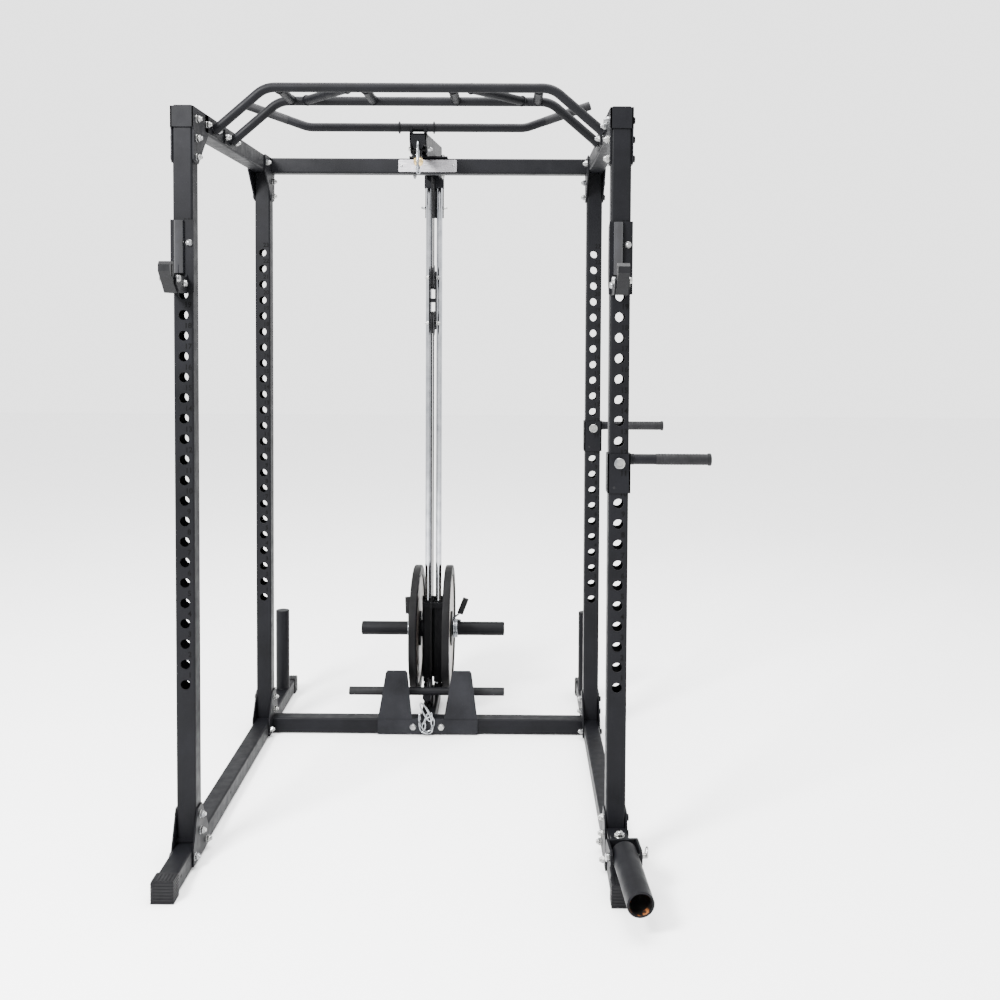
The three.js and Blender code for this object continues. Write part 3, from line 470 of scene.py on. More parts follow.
class Piece:
    """Shapes gathered into one object, in millimetres in the cage's own frame."""

    def __init__(self, name, *materials, matrix=None):
        self.name = name
        self.materials = materials
        self.matrix = matrix or Matrix.Identity(4)
        self.mesh = bmesh.new()

    def add(self, shape, material=0, matrix=None, bevel=0, steps=2):
        if bevel:
            sharp = [e for e in shape.edges if len(e.link_faces) == 2 and e.calc_face_angle(0) > 0.5]
            bmesh.ops.bevel(shape, geom=sharp, offset=bevel, segments=steps, profile=0.5, affect="EDGES")
        for face in shape.faces:
            face.material_index = material
        bmesh.ops.recalc_face_normals(shape, faces=shape.faces)
        matrix = self.matrix @ (matrix or Matrix.Identity(4))
        part = bpy.data.meshes.new("part")
        shape.to_mesh(part)
        shape.free()
        part.transform(matrix)
        if matrix.determinant() < 0:
            part.flip_normals()
        self.mesh.from_mesh(part)
        bpy.data.meshes.remove(part)
        return self

    def lathe(self, axis, centre, profile, sides=40, material=0):
        return self.add(lathe_shape(profile, sides), material, Matrix.Translation(centre) @ AXES[axis])

    def prism(self, axis, outline, low, high, material=0, bevel=0.8, steps=2):
        return self.add(prism_shape(outline, low, high), material, AXES[axis], bevel, steps)

    def block(self, x0, x1, y0, y1, z0, z1, material=0, bevel=0.8, steps=2):
        outline = [(x0, y0), (x1, y0), (x1, y1), (x0, y1)]
        return self.add(prism_shape(outline, z0, z1), material, None, bevel, steps)

    def sweep(self, path, radius, sides=20, closed=False, material=0):
        return self.add(sweep_shape(path, radius, sides, closed), material)

    def square_tube(self, axis, centre, length):
        tube = square_tube_shape(-length / 2, length / 2)
        return self.add(tube, 0, Matrix.Translation(centre) @ AXES[axis])

    def pair(self, axis, outline, near, far, about=0, bevel=0.8):
        """Two plates of one outline, the same distance either side of a plane."""
        self.prism(axis, outline, about - far, about - near, bevel=bevel)
        return self.prism(axis, outline, about + near, about + far, bevel=bevel)

    def bolt(self, centre, direction, size=10, kind="nut", material=0):
        """A washer with a hexagon on it, then a nut's collar and the bolt's end, or a dome."""
        stand = Matrix.Translation(centre) @ facing(direction)
        flats = size * 0.92
        seat = 1.6
        washer = [(0, -0.5), (size, -0.5), (size, seat - 0.5), (size - 0.5, seat), (0, seat)]
        self.add(lathe_shape(washer, 28), material, stand)
        top = 8 if kind == "nut" else 6.6
        hexagon = [(0, seat), (flats, seat), (flats, top - 1.2), (flats * 0.86, top), (0, top)]
        # Each hexagon is turned differently, so that a row of bolts doesn't look copied.
        self.add(lathe_shape(hexagon, 6), material, stand @ Matrix.Rotation(centre[1], 4, "Z"))
        if kind == "nut":
            collar = [(0, top), (flats * 0.78, top), (flats * 0.74, top + 2.2), (size * 0.5, top + 3),
                      (size * 0.48, top + 5.5), (size * 0.4, top + 6.4), (0, top + 6.4)]
            self.add(lathe_shape(collar, 20), material, stand)
        if kind == "dome":
            rise = 6
            curve = [(flats * math.cos(a), seat + rise * math.sin(a)) for a in (0, 0.4, 0.8, 1.2)]
            self.add(lathe_shape([(0, seat), *curve, (0, seat + rise)], 20), material, stand)
        return self

    def through_bolt(self, half, y, z, size=8, tail="dome"):
        """A bolt along X, with its nut on the right and its head or a second nut on the left."""
        self.bolt((half, y, z), (1, 0, 0), size, "nut", 1)
        return self.bolt((-half, y, z), (-1, 0, 0), size, tail, 1)

    def place(self, body, slot, *nodes):
        """Makes the object, which stands for the CAD nodes. With no body, it is left unattached."""
        for edge in self.mesh.edges:
            edge.smooth = len(edge.link_faces) == 2 and edge.calc_face_angle(0) < 0.6
        for face in self.mesh.faces:
            face.smooth = True
        mesh = bpy.data.meshes.new(self.name)
        self.mesh.to_mesh(mesh)
        self.mesh.free()
        mesh.transform(Matrix.Translation(ORIGIN) @ Matrix.Scale(MM, 4))
        for material in self.materials:
            mesh.materials.append(material)
        piece = add_object(self.name, mesh)
        if body:
            piece.modifiers.new("even_shading", "WEIGHTED_NORMAL").keep_sharp = True
            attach(piece, body)
        if nodes:
            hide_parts(*nodes)
        return piece


def mirrored(outline):
    """The outline turned front to back, for the rear posts."""
    return [(BACK_FACE - y, z) for y, z in outline]


# ---- uprights ---------------------------------------------------------------------------
def evaluated_mesh(thing):
    """The object's mesh with its modifiers applied, or its text as faces. The object is removed."""
    bpy.context.view_layer.update()
    graph = bpy.context.evaluated_depsgraph_get()
    mesh = bpy.data.meshes.new_from_object(thing.evaluated_get(graph))
    bpy.data.objects.remove(thing)
    return mesh


def drilled_upright():
    """An upright's mesh with round holes through its front and back, standing at x = 0, y = 0."""
    foot = RAIL_Z + TUBE / 2 + GAP
    drills = Piece("upright_drills")
    for number in HOLE_NUMBERS:
        drills.lathe("y", (0, 0, hole_z(number)), cylinder_profile(HOLE_RADIUS, 40), 32)
    solids = []
    for name, shape in (("upright_body", square_tube_shape(foot, HEIGHT)), ("upright_drills", drills.mesh)):
        bmesh.ops.recalc_face_normals(shape, faces=shape.faces)
        mesh = bpy.data.meshes.new(name)
        shape.to_mesh(mesh)
        shape.free()
        solids.append(add_object(name, mesh))
    body, cutter = solids
    cut = body.modifiers.new("holes", "BOOLEAN")
    cut.object = cutter
    cut.solver = "EXACT"
    result = evaluated_mesh(body)
    bpy.data.objects.remove(cutter)
    return result


def upright(template, name, x, y):
    """A drilled post with the moulded cap that closes its top."""
    piece = Piece(name, POWDER, PLASTIC)
    centre = Vector((x, y + TUBE / 2, 0))
    piece.mesh.from_mesh(template)
    bmesh.ops.translate(piece.mesh, verts=piece.mesh.verts, vec=centre)
    cap = rounded_rectangle(46, 46, 4)
    piece.add(prism_shape(cap, HEIGHT - 6, HEIGHT + 3.2), 1, Matrix.Translation(centre), 1.6, 3)
    piece.place("frame", "powder_coat", name.replace("post", "upright"))


def hole_numbers(name, body, x, y, numbers):
    """The position number above each hole, to the right of its centre."""
    piece = Piece(name, NUMBER)
    for number in numbers:
        curve = bpy.data.curves.new("digits", "FONT")
        curve.body = str(number)
        curve.size = 19
        curve.offset = 0.35
        curve.extrude = 0.12
        curve.align_x = "CENTER"
        curve.resolution_u = 3
        mesh = evaluated_mesh(add_object("digits", curve))
        turn = Matrix.Rotation(math.pi / 2, 4, "X")
        mesh.transform(Matrix.Translation((x + 12, y - 0.05, hole_z(number) + 19.5)) @ turn)
        piece.mesh.from_mesh(mesh)
        bpy.data.meshes.remove(mesh)
    piece.place(body, "powder_coat")


def make_uprights():
    template = drilled_upright()
    for side, sign in SIDES:
        for end, y in (("front", 0), ("rear", DEPTH)):
            upright(template, f"post_{end}_{side}", sign * POST_X, y)
            hole_numbers(f"hole_numbers_{end}_{side}", "frame", sign * POST_X, y, HOLE_NUMBERS)
    bpy.data.meshes.remove(template)


# ---- beams and foot caps ----------------------------------------------------------------
RAIL_FRONT, RAIL_REAR = -186, 1252
CROSS_RAIL_HALF = 520.4


def make_beams():
    for side, sign in SIDES:
        x = sign * POST_X
        base = Piece(f"floor_rail_{side}", POWDER, NUMBER)
        base.square_tube("y", (x, (RAIL_REAR + RAIL_FRONT) / 2, RAIL_Z), RAIL_REAR - RAIL_FRONT)
        for y in (-122, 330, 1200):
            base.lathe("x", (x - sign * (TUBE / 2 - 0.1), y, 34), cylinder_profile(4, 0.3), 20, 1)
        base.place("frame", "powder_coat", f"base_beam_{side}")
        top = Piece(f"top_rail_{side}", POWDER)
        top.square_tube("y", (x, BACK_FACE / 2, TOP_RAIL_Z), DEPTH - TUBE - 2 * GAP)
        top.place("frame", "powder_coat", f"top_beam_{side}")
    for name, z in (("base", RAIL_Z), ("top", TOP_RAIL_Z)):
        rail = Piece(f"{name}_cross_rail", POWDER)
        rail.square_tube("x", (0, DEPTH + TUBE / 2, z), 2 * CROSS_RAIL_HALF)
        rail.place("frame", "powder_coat", f"{name}_rear_crossmember")


def foot_cap(side, sign, end, y, outward):
    """A moulded cup with raised ribs round its front, its sides and its top."""
    cap = Piece(f"rail_cap_{end}_{side}", PLASTIC)
    x = sign * POST_X
    half, ribbed_half = 26.9, 28.3
    face = y + outward * 3.3
    back = y - outward * 40
    cup = sorted((face - outward * 1.4, back))
    near, far = sorted((face, back + outward * 2))
    cap.block(x - half, x + half, *cup, 0.6, 55.2, bevel=2, steps=3)
    for k in range(7):
        z = 1 + 7.6 * k
        cap.block(x - ribbed_half, x + ribbed_half, near, far, z, z + 4.2, bevel=0.9)
    for k in range(6):
        rib_x = x - 24 + 8.8 * k
        cap.block(rib_x, rib_x + 4.4, near + 2, far - 2, 50, 56.6, bevel=0.9)
    cap.place("frame", "foot_plastic", f"foot_cap_{end}_{side}")


# ---- corner brackets --------------------------------------------------------------------
TOP_WEB, BASE_WEB = (1878, HEIGHT), (57, 66)
TOP_OUTLINE = [(-4.3, 1878), (0, 1872), (0, 1798), (6, 1790), (40, 1790), (128, 1880), (128, HEIGHT),
               (-4.3, HEIGHT)]
BASE_OUTLINE = [(-34, 8), (92, 8), (92, 61), (40, 142), (4, 142), (-4.3, 122), (-34, 49.3)]
TOP_BOLTS = [(25, 1902), (25, 1854), (25, 1806)]
TOP_REAR_BOLTS = [(107, 1906), (25, 1854), (25, 1806)]
BASE_BOLTS = [(25, 118), (25, 76), (78, 27), (-22, 31)]


def bracket(name, node, x, outline, bolts, web, flip):
    """Two cheeks and a web, with nuts on the inner cheek and painted heads on the outer one."""
    piece = Piece(name, POWDER, ZINC)
    faces = (-GAP - PLATE, -GAP)
    if flip:
        outline = mirrored(outline)
        bolts = mirrored(bolts)
        faces = (BACK_FACE + GAP, BACK_FACE + GAP + PLATE)
    piece.pair("x", outline, PLATE_IN, PLATE_OUT, x, 1.1)
    piece.block(x - PLATE_OUT + 0.5, x + PLATE_OUT - 0.5, *faces, *web, bevel=1.1)
    inward = -1 if x > 0 else 1
    for y, z in bolts:
        piece.bolt((x + inward * PLATE_OUT, y, z), (inward, 0, 0), material=1)
        piece.bolt((x - inward * PLATE_OUT, y, z), (-inward, 0, 0), kind="head")
    piece.place("frame", "powder_coat", node)


def make_brackets():
    for side, sign in SIDES:
        for end, flip in (("front", False), ("rear", True)):
            top_bolts = TOP_REAR_BOLTS if flip else TOP_BOLTS
            for place, outline, bolts, web in (("top", TOP_OUTLINE, top_bolts, TOP_WEB),
                                               ("base", BASE_OUTLINE, BASE_BOLTS, BASE_WEB)):
                bracket(f"{place}_gusset_{end}_{side}", f"{place}_bracket_{end}_{side}",
                        sign * POST_X, outline, bolts, web, flip)


# ---- pull-up bar ------------------------------------------------------------------------
def weld(piece, centre, direction, radius):
    """A rippled bead round the foot of a bar."""
    loop = []
    for k, (u, v) in enumerate(ellipse(1, 1, 48)):
        ripple = radius + 0.5 * (k % 2)
        loop.append((ripple * u, ripple * v, 0.3 * (k % 2)))
    piece.add(sweep_shape(loop, 2.1, 8, True), 0, Matrix.Translation(centre) @ facing(direction))


def make_pull_up_bar():
    bar = Piece("multi_grip_bar", POWDER, ZINC)
    high, low, radius = 2015, 1897, 12.7
    front, rear = 175, 350
    end_x = 521
    for y in (front, rear):
        path = bend_corners([(-end_x, y, low), (-383, y, high), (383, y, high), (end_x, y, low)], 75)
        bar.sweep(path, radius, 28)
        for _, sign in SIDES:
            plate = rounded_rectangle(122, 46, 7)
            plate_y = y - 15 if y == front else y
            face = Matrix.Translation((sign * 522.7, plate_y, 1907)) @ AXES["x"]
            bar.add(prism_shape(plate, -2, 2), 0, face, 0.7)
            weld(bar, (sign * 519.5, y, low + 2.5), (sign, 0, -0.85), radius + 1)
            for offset in (-48, 48):
                bar.bolt((sign * 520.7, plate_y + offset, 1904), (-sign, 0, 0), 9, "nut", 1)
    for _, sign in SIDES:
        grips = [((sign * x, front, high), (sign * x, rear, high)) for x in (348, 117)]
        grips.append(((sign * 158, front, high), (sign * 312, rear, high)))
        for start, end in grips:
            bar.sweep([start, end], radius, 28)
            run = (Vector(end) - Vector(start)).normalized()
            for foot in (Vector(start) + run * 12.9, Vector(end) - run * 12.9):
                weld(bar, foot, run, radius + 0.6)
    bar.place("frame", "powder_coat", "pull_up_bar")


# ---- pegs and nameplate -----------------------------------------------------------------
def make_pegs_and_plate():
    foot = RAIL_Z + TUBE / 2 + GAP
    profile = [(0, 0), (24, 0), (24, 1), (24, 283), (23.3, 284.6), (22.2, 284.8), (21.8, 283.8),
               (21.2, 283.8), (20, 285.6), (8, 286), (0, 286)]
    for side, sign in SIDES:
        peg = Piece(f"disc_peg_{side}", POWDER)
        peg.lathe("z", (sign * POST_X, PEG_Y, foot), profile, 48)
        weld(peg, (sign * POST_X, PEG_Y, foot + 1), (0, 0, 1), 22.6)
        peg.place("frame", "powder_coat", f"storage_peg_{side}")
    plate = Piece("blank_nameplate", SILVER, ZINC)
    plate_x = -2.5
    centre = Matrix.Translation((plate_x, DEPTH - GAP - 1, TOP_RAIL_Z))
    plate.add(prism_shape(rounded_rectangle(192, 40, 4), -1, 1), 0, centre @ AXES["y"], 0.4)
    rivet = [(0, 0), (4.4, 0), (4, 1.2), (2.4, 2.1), (0, 2.4)]
    for offset in (-86, 86):
        place = Matrix.Translation((plate_x + offset, DEPTH - 2.2, TOP_RAIL_Z))
        plate.add(lathe_shape(rivet, 20), 1, place @ Matrix.Rotation(math.pi / 2, 4, "X"))
    plate.place("frame", "silver_plate", "nameplate")


# ---- J-hooks ----------------------------------------------------------------------------
def make_j_hook(side, x):
    body = f"j_hook_{side}"
    hook = Piece(f"bar_catch_{side}", POWDER, ZINC)
    left, right = x - 19.3, x + 9.2
    low, high = 1464, 1646
    plate_y = -6.3
    hook.block(x - TUBE / 2, x + TUBE / 2, plate_y, -GAP, low, high, bevel=1)
    hook.block(left, right, -98, -6, 1478, 1486)
    hook.block(left, right, -118, -110, 1499, 1530)
    wrap = [(plate_y, high), (22, 1634), (30, 1524), (24, 1490), (8, low), (plate_y, low)]
    hook.pair("x", wrap, PLATE_IN, PLATE_OUT, x, 1)
    cheek = [(-5, 1461), (-70, 1461), (-94, 1484), (-94, 1498), (-84, 1506), (-14, 1502), (-5, 1512)]
    for face, out in ((left, -1), (right, 1)):
        outer = face + out * PLATE
        hook.prism("x", cheek, min(face, outer), max(face, outer), bevel=1)
        for y, z in ((-84, 1496), (-30, 1486)):
            hook.bolt((outer, y, z), (out, 0, 0), 9, "dome", 1)
    hook.lathe("y", (x, 0, hole_z(HOOK_HOLE)), [(0, -2), (10, -2), (10, 38), (8, 42), (0, 42)], 32)
    hook.bolt((x + 17.5, plate_y, 1588), (0, -1, 0), 8.5, "dome", 1)
    hook.place(body, "powder_coat", f"j_hook_{side}")
    pad = Piece(f"bar_catch_liner_{side}", PAD, LINER)
    pad.block(left, right, -102, -7, 1486.3, 1494, bevel=1.6)
    lip = [(-102, 1536), (-123, 1536), (-131, 1528), (-131, 1512), (-86, 1461), (-64, 1461), (-64, 1477.5),
           (-102, 1494)]
    pad.prism("x", lip, left, right, bevel=3, steps=3)
    half_round = [(u, -6.4 - v) for u, v in ellipse(13, 13.5, 32)[:17]]
    pad.add(prism_shape(half_round, 1512, 1644), 1, Matrix.Translation((x - 7, 0, 0)), 1.2)
    pad.place(body, "hook_pad", f"j_hook_pad_{side}")


# ---- dip handles ------------------------------------------------------------------------
def make_dip_handle(end, y):
    x = POST_X
    pin_z = hole_z(PIN_HOLE)
    low, high = hole_z(PIN_HOLE - 1) - 25, pin_z + 22
    front, back = y - GAP - PLATE, y + 44
    handle = Piece(f"dip_grip_{end}", POWDER, GRIP, ZINC)
    outline = [(front, low), (back - 6, low), (back, low + 6), (back, high - 6), (back - 6, high),
               (front, high)]
    handle.pair("x", outline, PLATE_IN, PLATE_OUT, x, 1)
    handle.block(x - PLATE_OUT + 0.4, x + PLATE_OUT - 0.4, front, y - GAP, low, high, bevel=1)
    ring = [(8.5, -22), (12.6, -22), (13.6, -21), (13.6, -17), (11, -15.5), (10, -15), (10, 57), (8, 60),
            (0, 60), (0, -18), (8.5, -18), (8.5, -22)]
    handle.lathe("y", (x, y, pin_z), ring, 36, 2)
    axis_y, axis_z = y + 22, pin_z + 6
    grip = [(0, 26.3), (14, 26.3), (14, 40), (13.2, 41), (13.2, 232), (0, 232)]
    handle.lathe("x", (x, axis_y, axis_z), grip, 40)
    sleeve = [(13.2, 96), (14, 96.6), (14, 228), (16, 229), (16, 234.5), (14.5, 236.3), (0, 236.3)]
    handle.lathe("x", (x, axis_y, axis_z), sleeve, 40, 1)
    ridge = symmetric([(13.6, -1.6), (14.5, -0.8)])
    for k in range(15):
        handle.lathe("x", (x + 104 + 8 * k, axis_y, axis_z), ridge, 40, 1)
    weld(handle, (x + 29.6, axis_y, axis_z), (1, 0, 0), 14.2)
    # A thin dark rubber disc on the plate's front paints the black of a small hole's opening: painted shade.
    handle.lathe("y", (x - 12, y - 4.5, low + 14), cylinder_profile(3.4, 0.3), 18, 1)
    handle.place(f"dip_handle_{end}", "powder_coat", f"dip_handle_{end}")
    hole_numbers(f"dip_grip_numbers_{end}", f"dip_handle_{end}", x, front, (PIN_HOLE - 1,))


# ---- landmine ---------------------------------------------------------------------------
def make_landmine():
    sx, sy, sz = POST_X + 3, -62, 100
    lean = 0.085
    pivot = Matrix.Translation((sx, sy, sz)) @ Matrix.Rotation(lean, 4, "Z")
    tilt_axis = pivot @ Matrix.Translation((0, -76, 0))
    mount = Piece("landmine_mount", POWDER)
    mount.block(POST_X - 25, POST_X + 25, -10.6, -4.6, 61, 103.6, bevel=1.2)
    tongue = [(POST_X - 24, -10), (POST_X - 24, sy + 8), (POST_X - 15, sy - 15), (sx, sy - 24),
              (POST_X + 20, sy - 14), (POST_X + 25, sy + 8), (POST_X + 24, -10)]
    mount.prism("z", tongue, sz - 4, sz + 4, bevel=1.2)
    mount.pair("x", [(-9.6, 70), (-9.6, 99), (-30, 99), (-30, 94)], 14, 20, POST_X)
    mount.place("frame", "powder_coat", "landmine_bracket")
    bolt = Piece("swivel_bolt", ZINC, matrix=pivot)
    shank = [(0, -20), (7, -20), (8, -19), (8, 12), (0, 12)]
    bolt.lathe("z", (0, 0, 0), shank, 24)
    bolt.lathe("z", (0, 0, 12), [(0, 0), (13.5, 0), (13.5, 1.8), (13, 2.4), (0, 2.4)], 36)
    bolt.lathe("z", (0, 0, 14), [(0, 0), (12.2, 0), (12.2, 5.4), (11, 7.2), (0, 7.2)], 6)
    bolt.lathe("z", (0, 0, 21), [(0, 0), (8.5, 0), (8, 2.6), (6, 4.4), (3.4, 5.4), (0, 5.6)], 30)
    bolt.place("frame", "zinc_hardware", "landmine_swivel_bolt")
    yoke = Piece("landmine_fork", POWDER, matrix=pivot)
    leaf = [(-22, -38), (22, -38), (22, 8), (14, 18), (-14, 18), (-22, 8)]
    yoke.pair("z", leaf, 4.3, 11.6, bevel=1)
    yoke.block(-39.4, 39.4, -38, -30, -22, 22, bevel=1.2)
    ear = [(-26, -16), (-40, -24), (-86, -20), (-94, -12), (-94, 12), (-86, 20), (-40, 24), (-26, 16)]
    yoke.pair("x", ear, 33.4, 39.4, bevel=1.2)
    yoke.place("landmine_yoke", "powder_coat", "landmine_yoke")
    pin = Piece("tilt_pin", ZINC, matrix=tilt_axis)
    pin.lathe("x", (0, 0, 0), [(0, -46), (6, -46), (6, 54), (4.6, 56), (0, 56)], 24)
    pin.lathe("x", (0, 0, 0), [(0, -48), (8.6, -48), (10, -46.6), (10, -40), (0, -40)], 28)
    ring = [(52 + 2.5 * v, 10 * u, 10 + 11 * v) for u, v in ellipse(1, 1, 28)]
    pin.sweep(ring, 1.5, 10, True)
    pin.place("landmine_yoke", "zinc_hardware", "landmine_tilt_pin")
    tube = Piece("bar_sleeve", POWDER, BORE, matrix=tilt_axis @ Matrix.Rotation(lean, 4, "X"))
    wall = [(26.6, -183.2), (27.4, -184), (31, -184), (31.8, -183.2), (31.8, 13.2), (31, 14),
            (27.4, 14), (26.6, 13.2)]
    tube.lathe("y", (0, 0, 0), wall, 64)
    # The bore's material carries copper patches that are a painted glint.
    tube.lathe("y", (0, 0, 0), [(26.6, 13.2), (26.5, -120), (26.6, -183.2)], 64, 1)
    tube.place("landmine_tube", "powder_coat", "landmine_tube")


# ---- lat tower --------------------------------------------------------------------------
def pulley(name, node, sheave):
    """A grooved wheel with a bearing and five bosses. Its body has its CAD node's name."""
    y, z, radius = sheave
    wheel = Piece(name, NYLON, ZINC)
    flange, groove = radius + 4, radius - 3.8
    half_rim = [(9, -5.5), (12, -6.5), (flange - 1, -6.5), (flange, -6), (flange, -5.2), (groove + 2, -3.6),
                (groove, -1.6)]
    wheel.lathe("x", (0, y, z), symmetric(half_rim) + half_rim[:1], 56)
    bearing = [(5.3, -5.8), (9.2, -5.8)]
    wheel.lathe("x", (0, y, z), symmetric(bearing) + bearing[:1], 32, 1)
    reach = (12 + groove) / 2
    for u, v in ellipse(reach, reach, 5):
        wheel.lathe("x", (0, y + u, z + v), symmetric([(0, -6.9), (4.2, -6.9), (4.6, -6.4)]), 20)
    wheel.place(node, "pulley_nylon", node)


def make_boom():
    boom = Piece("lat_boom_arm", POWDER, ZINC)
    front, rear, front_top, rear_top = 452, 1130, 1944, 2013
    half, inner = 25, 24.6
    saddle_plate = HEIGHT + 6.4
    side = [(front, front_top), (front, 1924), (484, 1890), (535, 1890), (832, 1936.3), (898, 1936.3),
            (968, 1895), (rear, 1895), (rear, rear_top)]
    boom.pair("x", side, half - PLATE, half, bevel=0.9)
    roof = [(front, front_top), (front, front_top - PLATE), (rear, rear_top - PLATE), (rear, rear_top)]
    boom.prism("x", roof, -inner, inner, bevel=0.9)
    nose = [(-inner, 1943), (inner, 1943), (inner, 1926), (12, 1900), (-12, 1900), (-inner, 1926)]
    boom.prism("y", nose, front, front + PLATE, bevel=0.9)
    boom.block(-inner, inner, rear - PLATE, rear, 1895, 2012, bevel=0.9)
    boom.block(-63, 63, DEPTH - 5, BACK_FACE + 5, HEIGHT + GAP, saddle_plate, bevel=1.2)
    boom.block(-34, 34, TOWER_Y - 14, TOWER_Y + 14, ROD_TOP_Z + GAP, 1912, bevel=1.5)
    boom.block(-33, 33, 1117.8, 1123.5, 1760, 1900, bevel=1)
    saddle = [(459, 1936), (489, 1936), (492, 1966), (489, 1966), (487.6, 1957), (480, 1950.2), (474, 1949.4),
              (468, 1950.2), (460.4, 1957), (459, 1966), (456, 1966)]
    boom.pair("x", saddle, half - 8, half, bevel=0.6)
    for y, z in (FRONT_SHEAVE[:2], REAR_SHEAVE[:2], (NEAR_Y, 1916)):
        boom.lathe("x", (0, y, z), cylinder_profile(AXLE_RADIUS, half + 2), 24)
        boom.through_bolt(half, y, z)
    boom.through_bolt(33, TOWER_Y + 10, 1797, 7, "nut")
    for x in (-47, 47):
        for y in (DEPTH + 10, BACK_FACE - 10):
            boom.bolt((x, y, saddle_plate), (0, 0, 1), 7, "dome", 1)
        boom.bolt((x, DEPTH + TUBE / 2, HEIGHT - TUBE), (0, 0, -1), 7, "nut", 1)
    boom.place("frame", "powder_coat", "lat_boom")


def make_tower():
    for side, sign in SIDES:
        rod = Piece(f"chrome_guide_{side}", CHROME)
        bar = [(0, 63.3), (9.5, 63.3), (10.5, 64.3), (10.5, ROD_TOP_Z), (0, ROD_TOP_Z)]
        rod.lathe("z", (sign * ROD_X, TOWER_Y, 0), bar, 48)
        rod.place("frame", "chrome_rod", f"guide_rod_{side}")
    foot = Piece("tower_base", POWDER, ZINC, PLASTIC)
    front, rear = BACK_FACE + GAP, TOWER_Y + 40
    foot.square_tube("y", (0, (front + rear) / 2, RAIL_Z), rear - front)
    foot.block(-24, 24, rear - 4, rear + 2.5, 4, 52.5, 2, bevel=2)
    socket = [(10.8, 66), (15, 66), (15, 82), (14, 83.3), (10.8, 83.3), (10.8, 66)]
    for _, sign in SIDES:
        foot.lathe("z", (sign * ROD_X, TOWER_Y, 0), socket, 36)
    foot.block(-34, 34, TOWER_Y - 18, TOWER_Y + 18, 52.4, 68, bevel=1.5)
    y, z, _ = LOW_SHEAVE
    cheek = [(y - 26, 52), (y + 30, 52), (y + 18, z + 12), (y + 12, z + 16), (y - 12, z + 16),
             (y - 18, z + 12)]
    foot.pair("x", cheek, 9, 14)
    foot.lathe("x", (0, y, z), cylinder_profile(AXLE_RADIUS, 18), 24)
    foot.through_bolt(14, y, z)
    foot.lathe("z", (0, TOWER_Y + 10, 0), [(0, 0), (16, 0), (17, 1), (17, 4), (0, 4)], 36, 2)
    foot.place("frame", "powder_coat", "tower_foot")


def make_foot_plates():
    plates = Piece("foot_rests", TEXTURED, ZINC)
    back = DEPTH - GAP
    top = 219
    band = [(-166, 4), (170, 4), (170, 55.3), (-166, 55.3)]
    left = [(-165.6, 54), (-50.4, 54), (-66, top - 7), (-72, top), (-133, top), (-139, top - 7)]
    right = [(56.4, 54), (169.6, 54), (149, top - 7), (143, top), (89, top), (83, top - 7)]
    for outline in (band, left, right):
        plates.prism("y", outline, back - 5, back, bevel=0.9)
    for x in (-100, 108):
        hook = [(back - 1, 104), (back + 74, 104), (back + 84, 112), (back + 84, 130), (back + 79, 130),
                (back + 76, 114), (back + 50, 112), (back - 1, 112)]
        plates.prism("x", hook, x - 8, x + 8, bevel=1)
    for x in (-47, 47):
        plates.bolt((x, back - 5, 28), (0, -1, 0), 11, "dome", 1)
    plates.place("frame", "textured_coat", "foot_plates")


def make_floating_block():
    block = Piece("floating_straps", POWDER, ZINC)
    middle_z = (REST_TOP + REST_BOTTOM) / 2
    strap = [(BLOCK_Y + u, middle_z + v) for u, v in rounded_rectangle(32, 204, 12)]
    block.pair("x", strap, 9, 13, bevel=0.7)
    block.block(-9.5, 9.5, BLOCK_Y - 10, BLOCK_Y + 10, middle_z - 7, middle_z + 7, bevel=1)
    for z in (REST_TOP, REST_BOTTOM):
        block.lathe("x", (0, BLOCK_Y, z), cylinder_profile(AXLE_RADIUS, 14), 24)
        block.through_bolt(13, BLOCK_Y, z, tail="nut")
    block.place("floating_block", "powder_coat", "floating_block")


def make_carriage():
    carriage = Piece("plate_carriage", POWDER, PLASTIC, ZINC)
    low, high = 92, 382
    bore = ellipse(10.9, 10.9, 24, 0.5)
    bush = [(10.9, high), (14.4, high), (14.4, 384.6), (13.6, 385.4), (10.9, 385.4), (10.9, high)]
    for _, sign in SIDES:
        centre = (sign * ROD_X, TOWER_Y, 0)
        sleeve = tube_shape(rounded_rectangle(32, 32, 4), bore, low, high)
        carriage.add(sleeve, 0, Matrix.Translation(centre))
        carriage.lathe("z", centre, bush, 36, 1)
    back = TOWER_Y + 21
    carriage.block(-41, 41, back - 6, back, 100, 396, bevel=1.2)
    carriage.block(-33.5, 33.5, TOWER_Y - 29, TOWER_Y - 15, high - 18, high, bevel=1.2)
    horn = [(0, 34), (30, 34), (30, 40), (28.5, 43.2), (24, 43.2), (24, 254), (23, 256), (0, 256)]
    cap = [(0, 254), (21, 254.5), (21.8, 256), (20.5, 257), (0, 257)]
    for _, sign in SIDES:
        turn = Matrix.Translation((0, TOWER_Y, HORN_Z)) @ Matrix.Scale(sign, 4, (1, 0, 0)) @ AXES["x"]
        carriage.add(lathe_shape(horn, 56), 0, turn)
        carriage.add(lathe_shape(cap, 40), 1, turn)
    for z in (130, 350):
        for x in (-30, 30):
            carriage.bolt((x, back, z), (0, 1, 0), 6, "dome", 2)
    carriage.place("carriage", "powder_coat", "carriage")


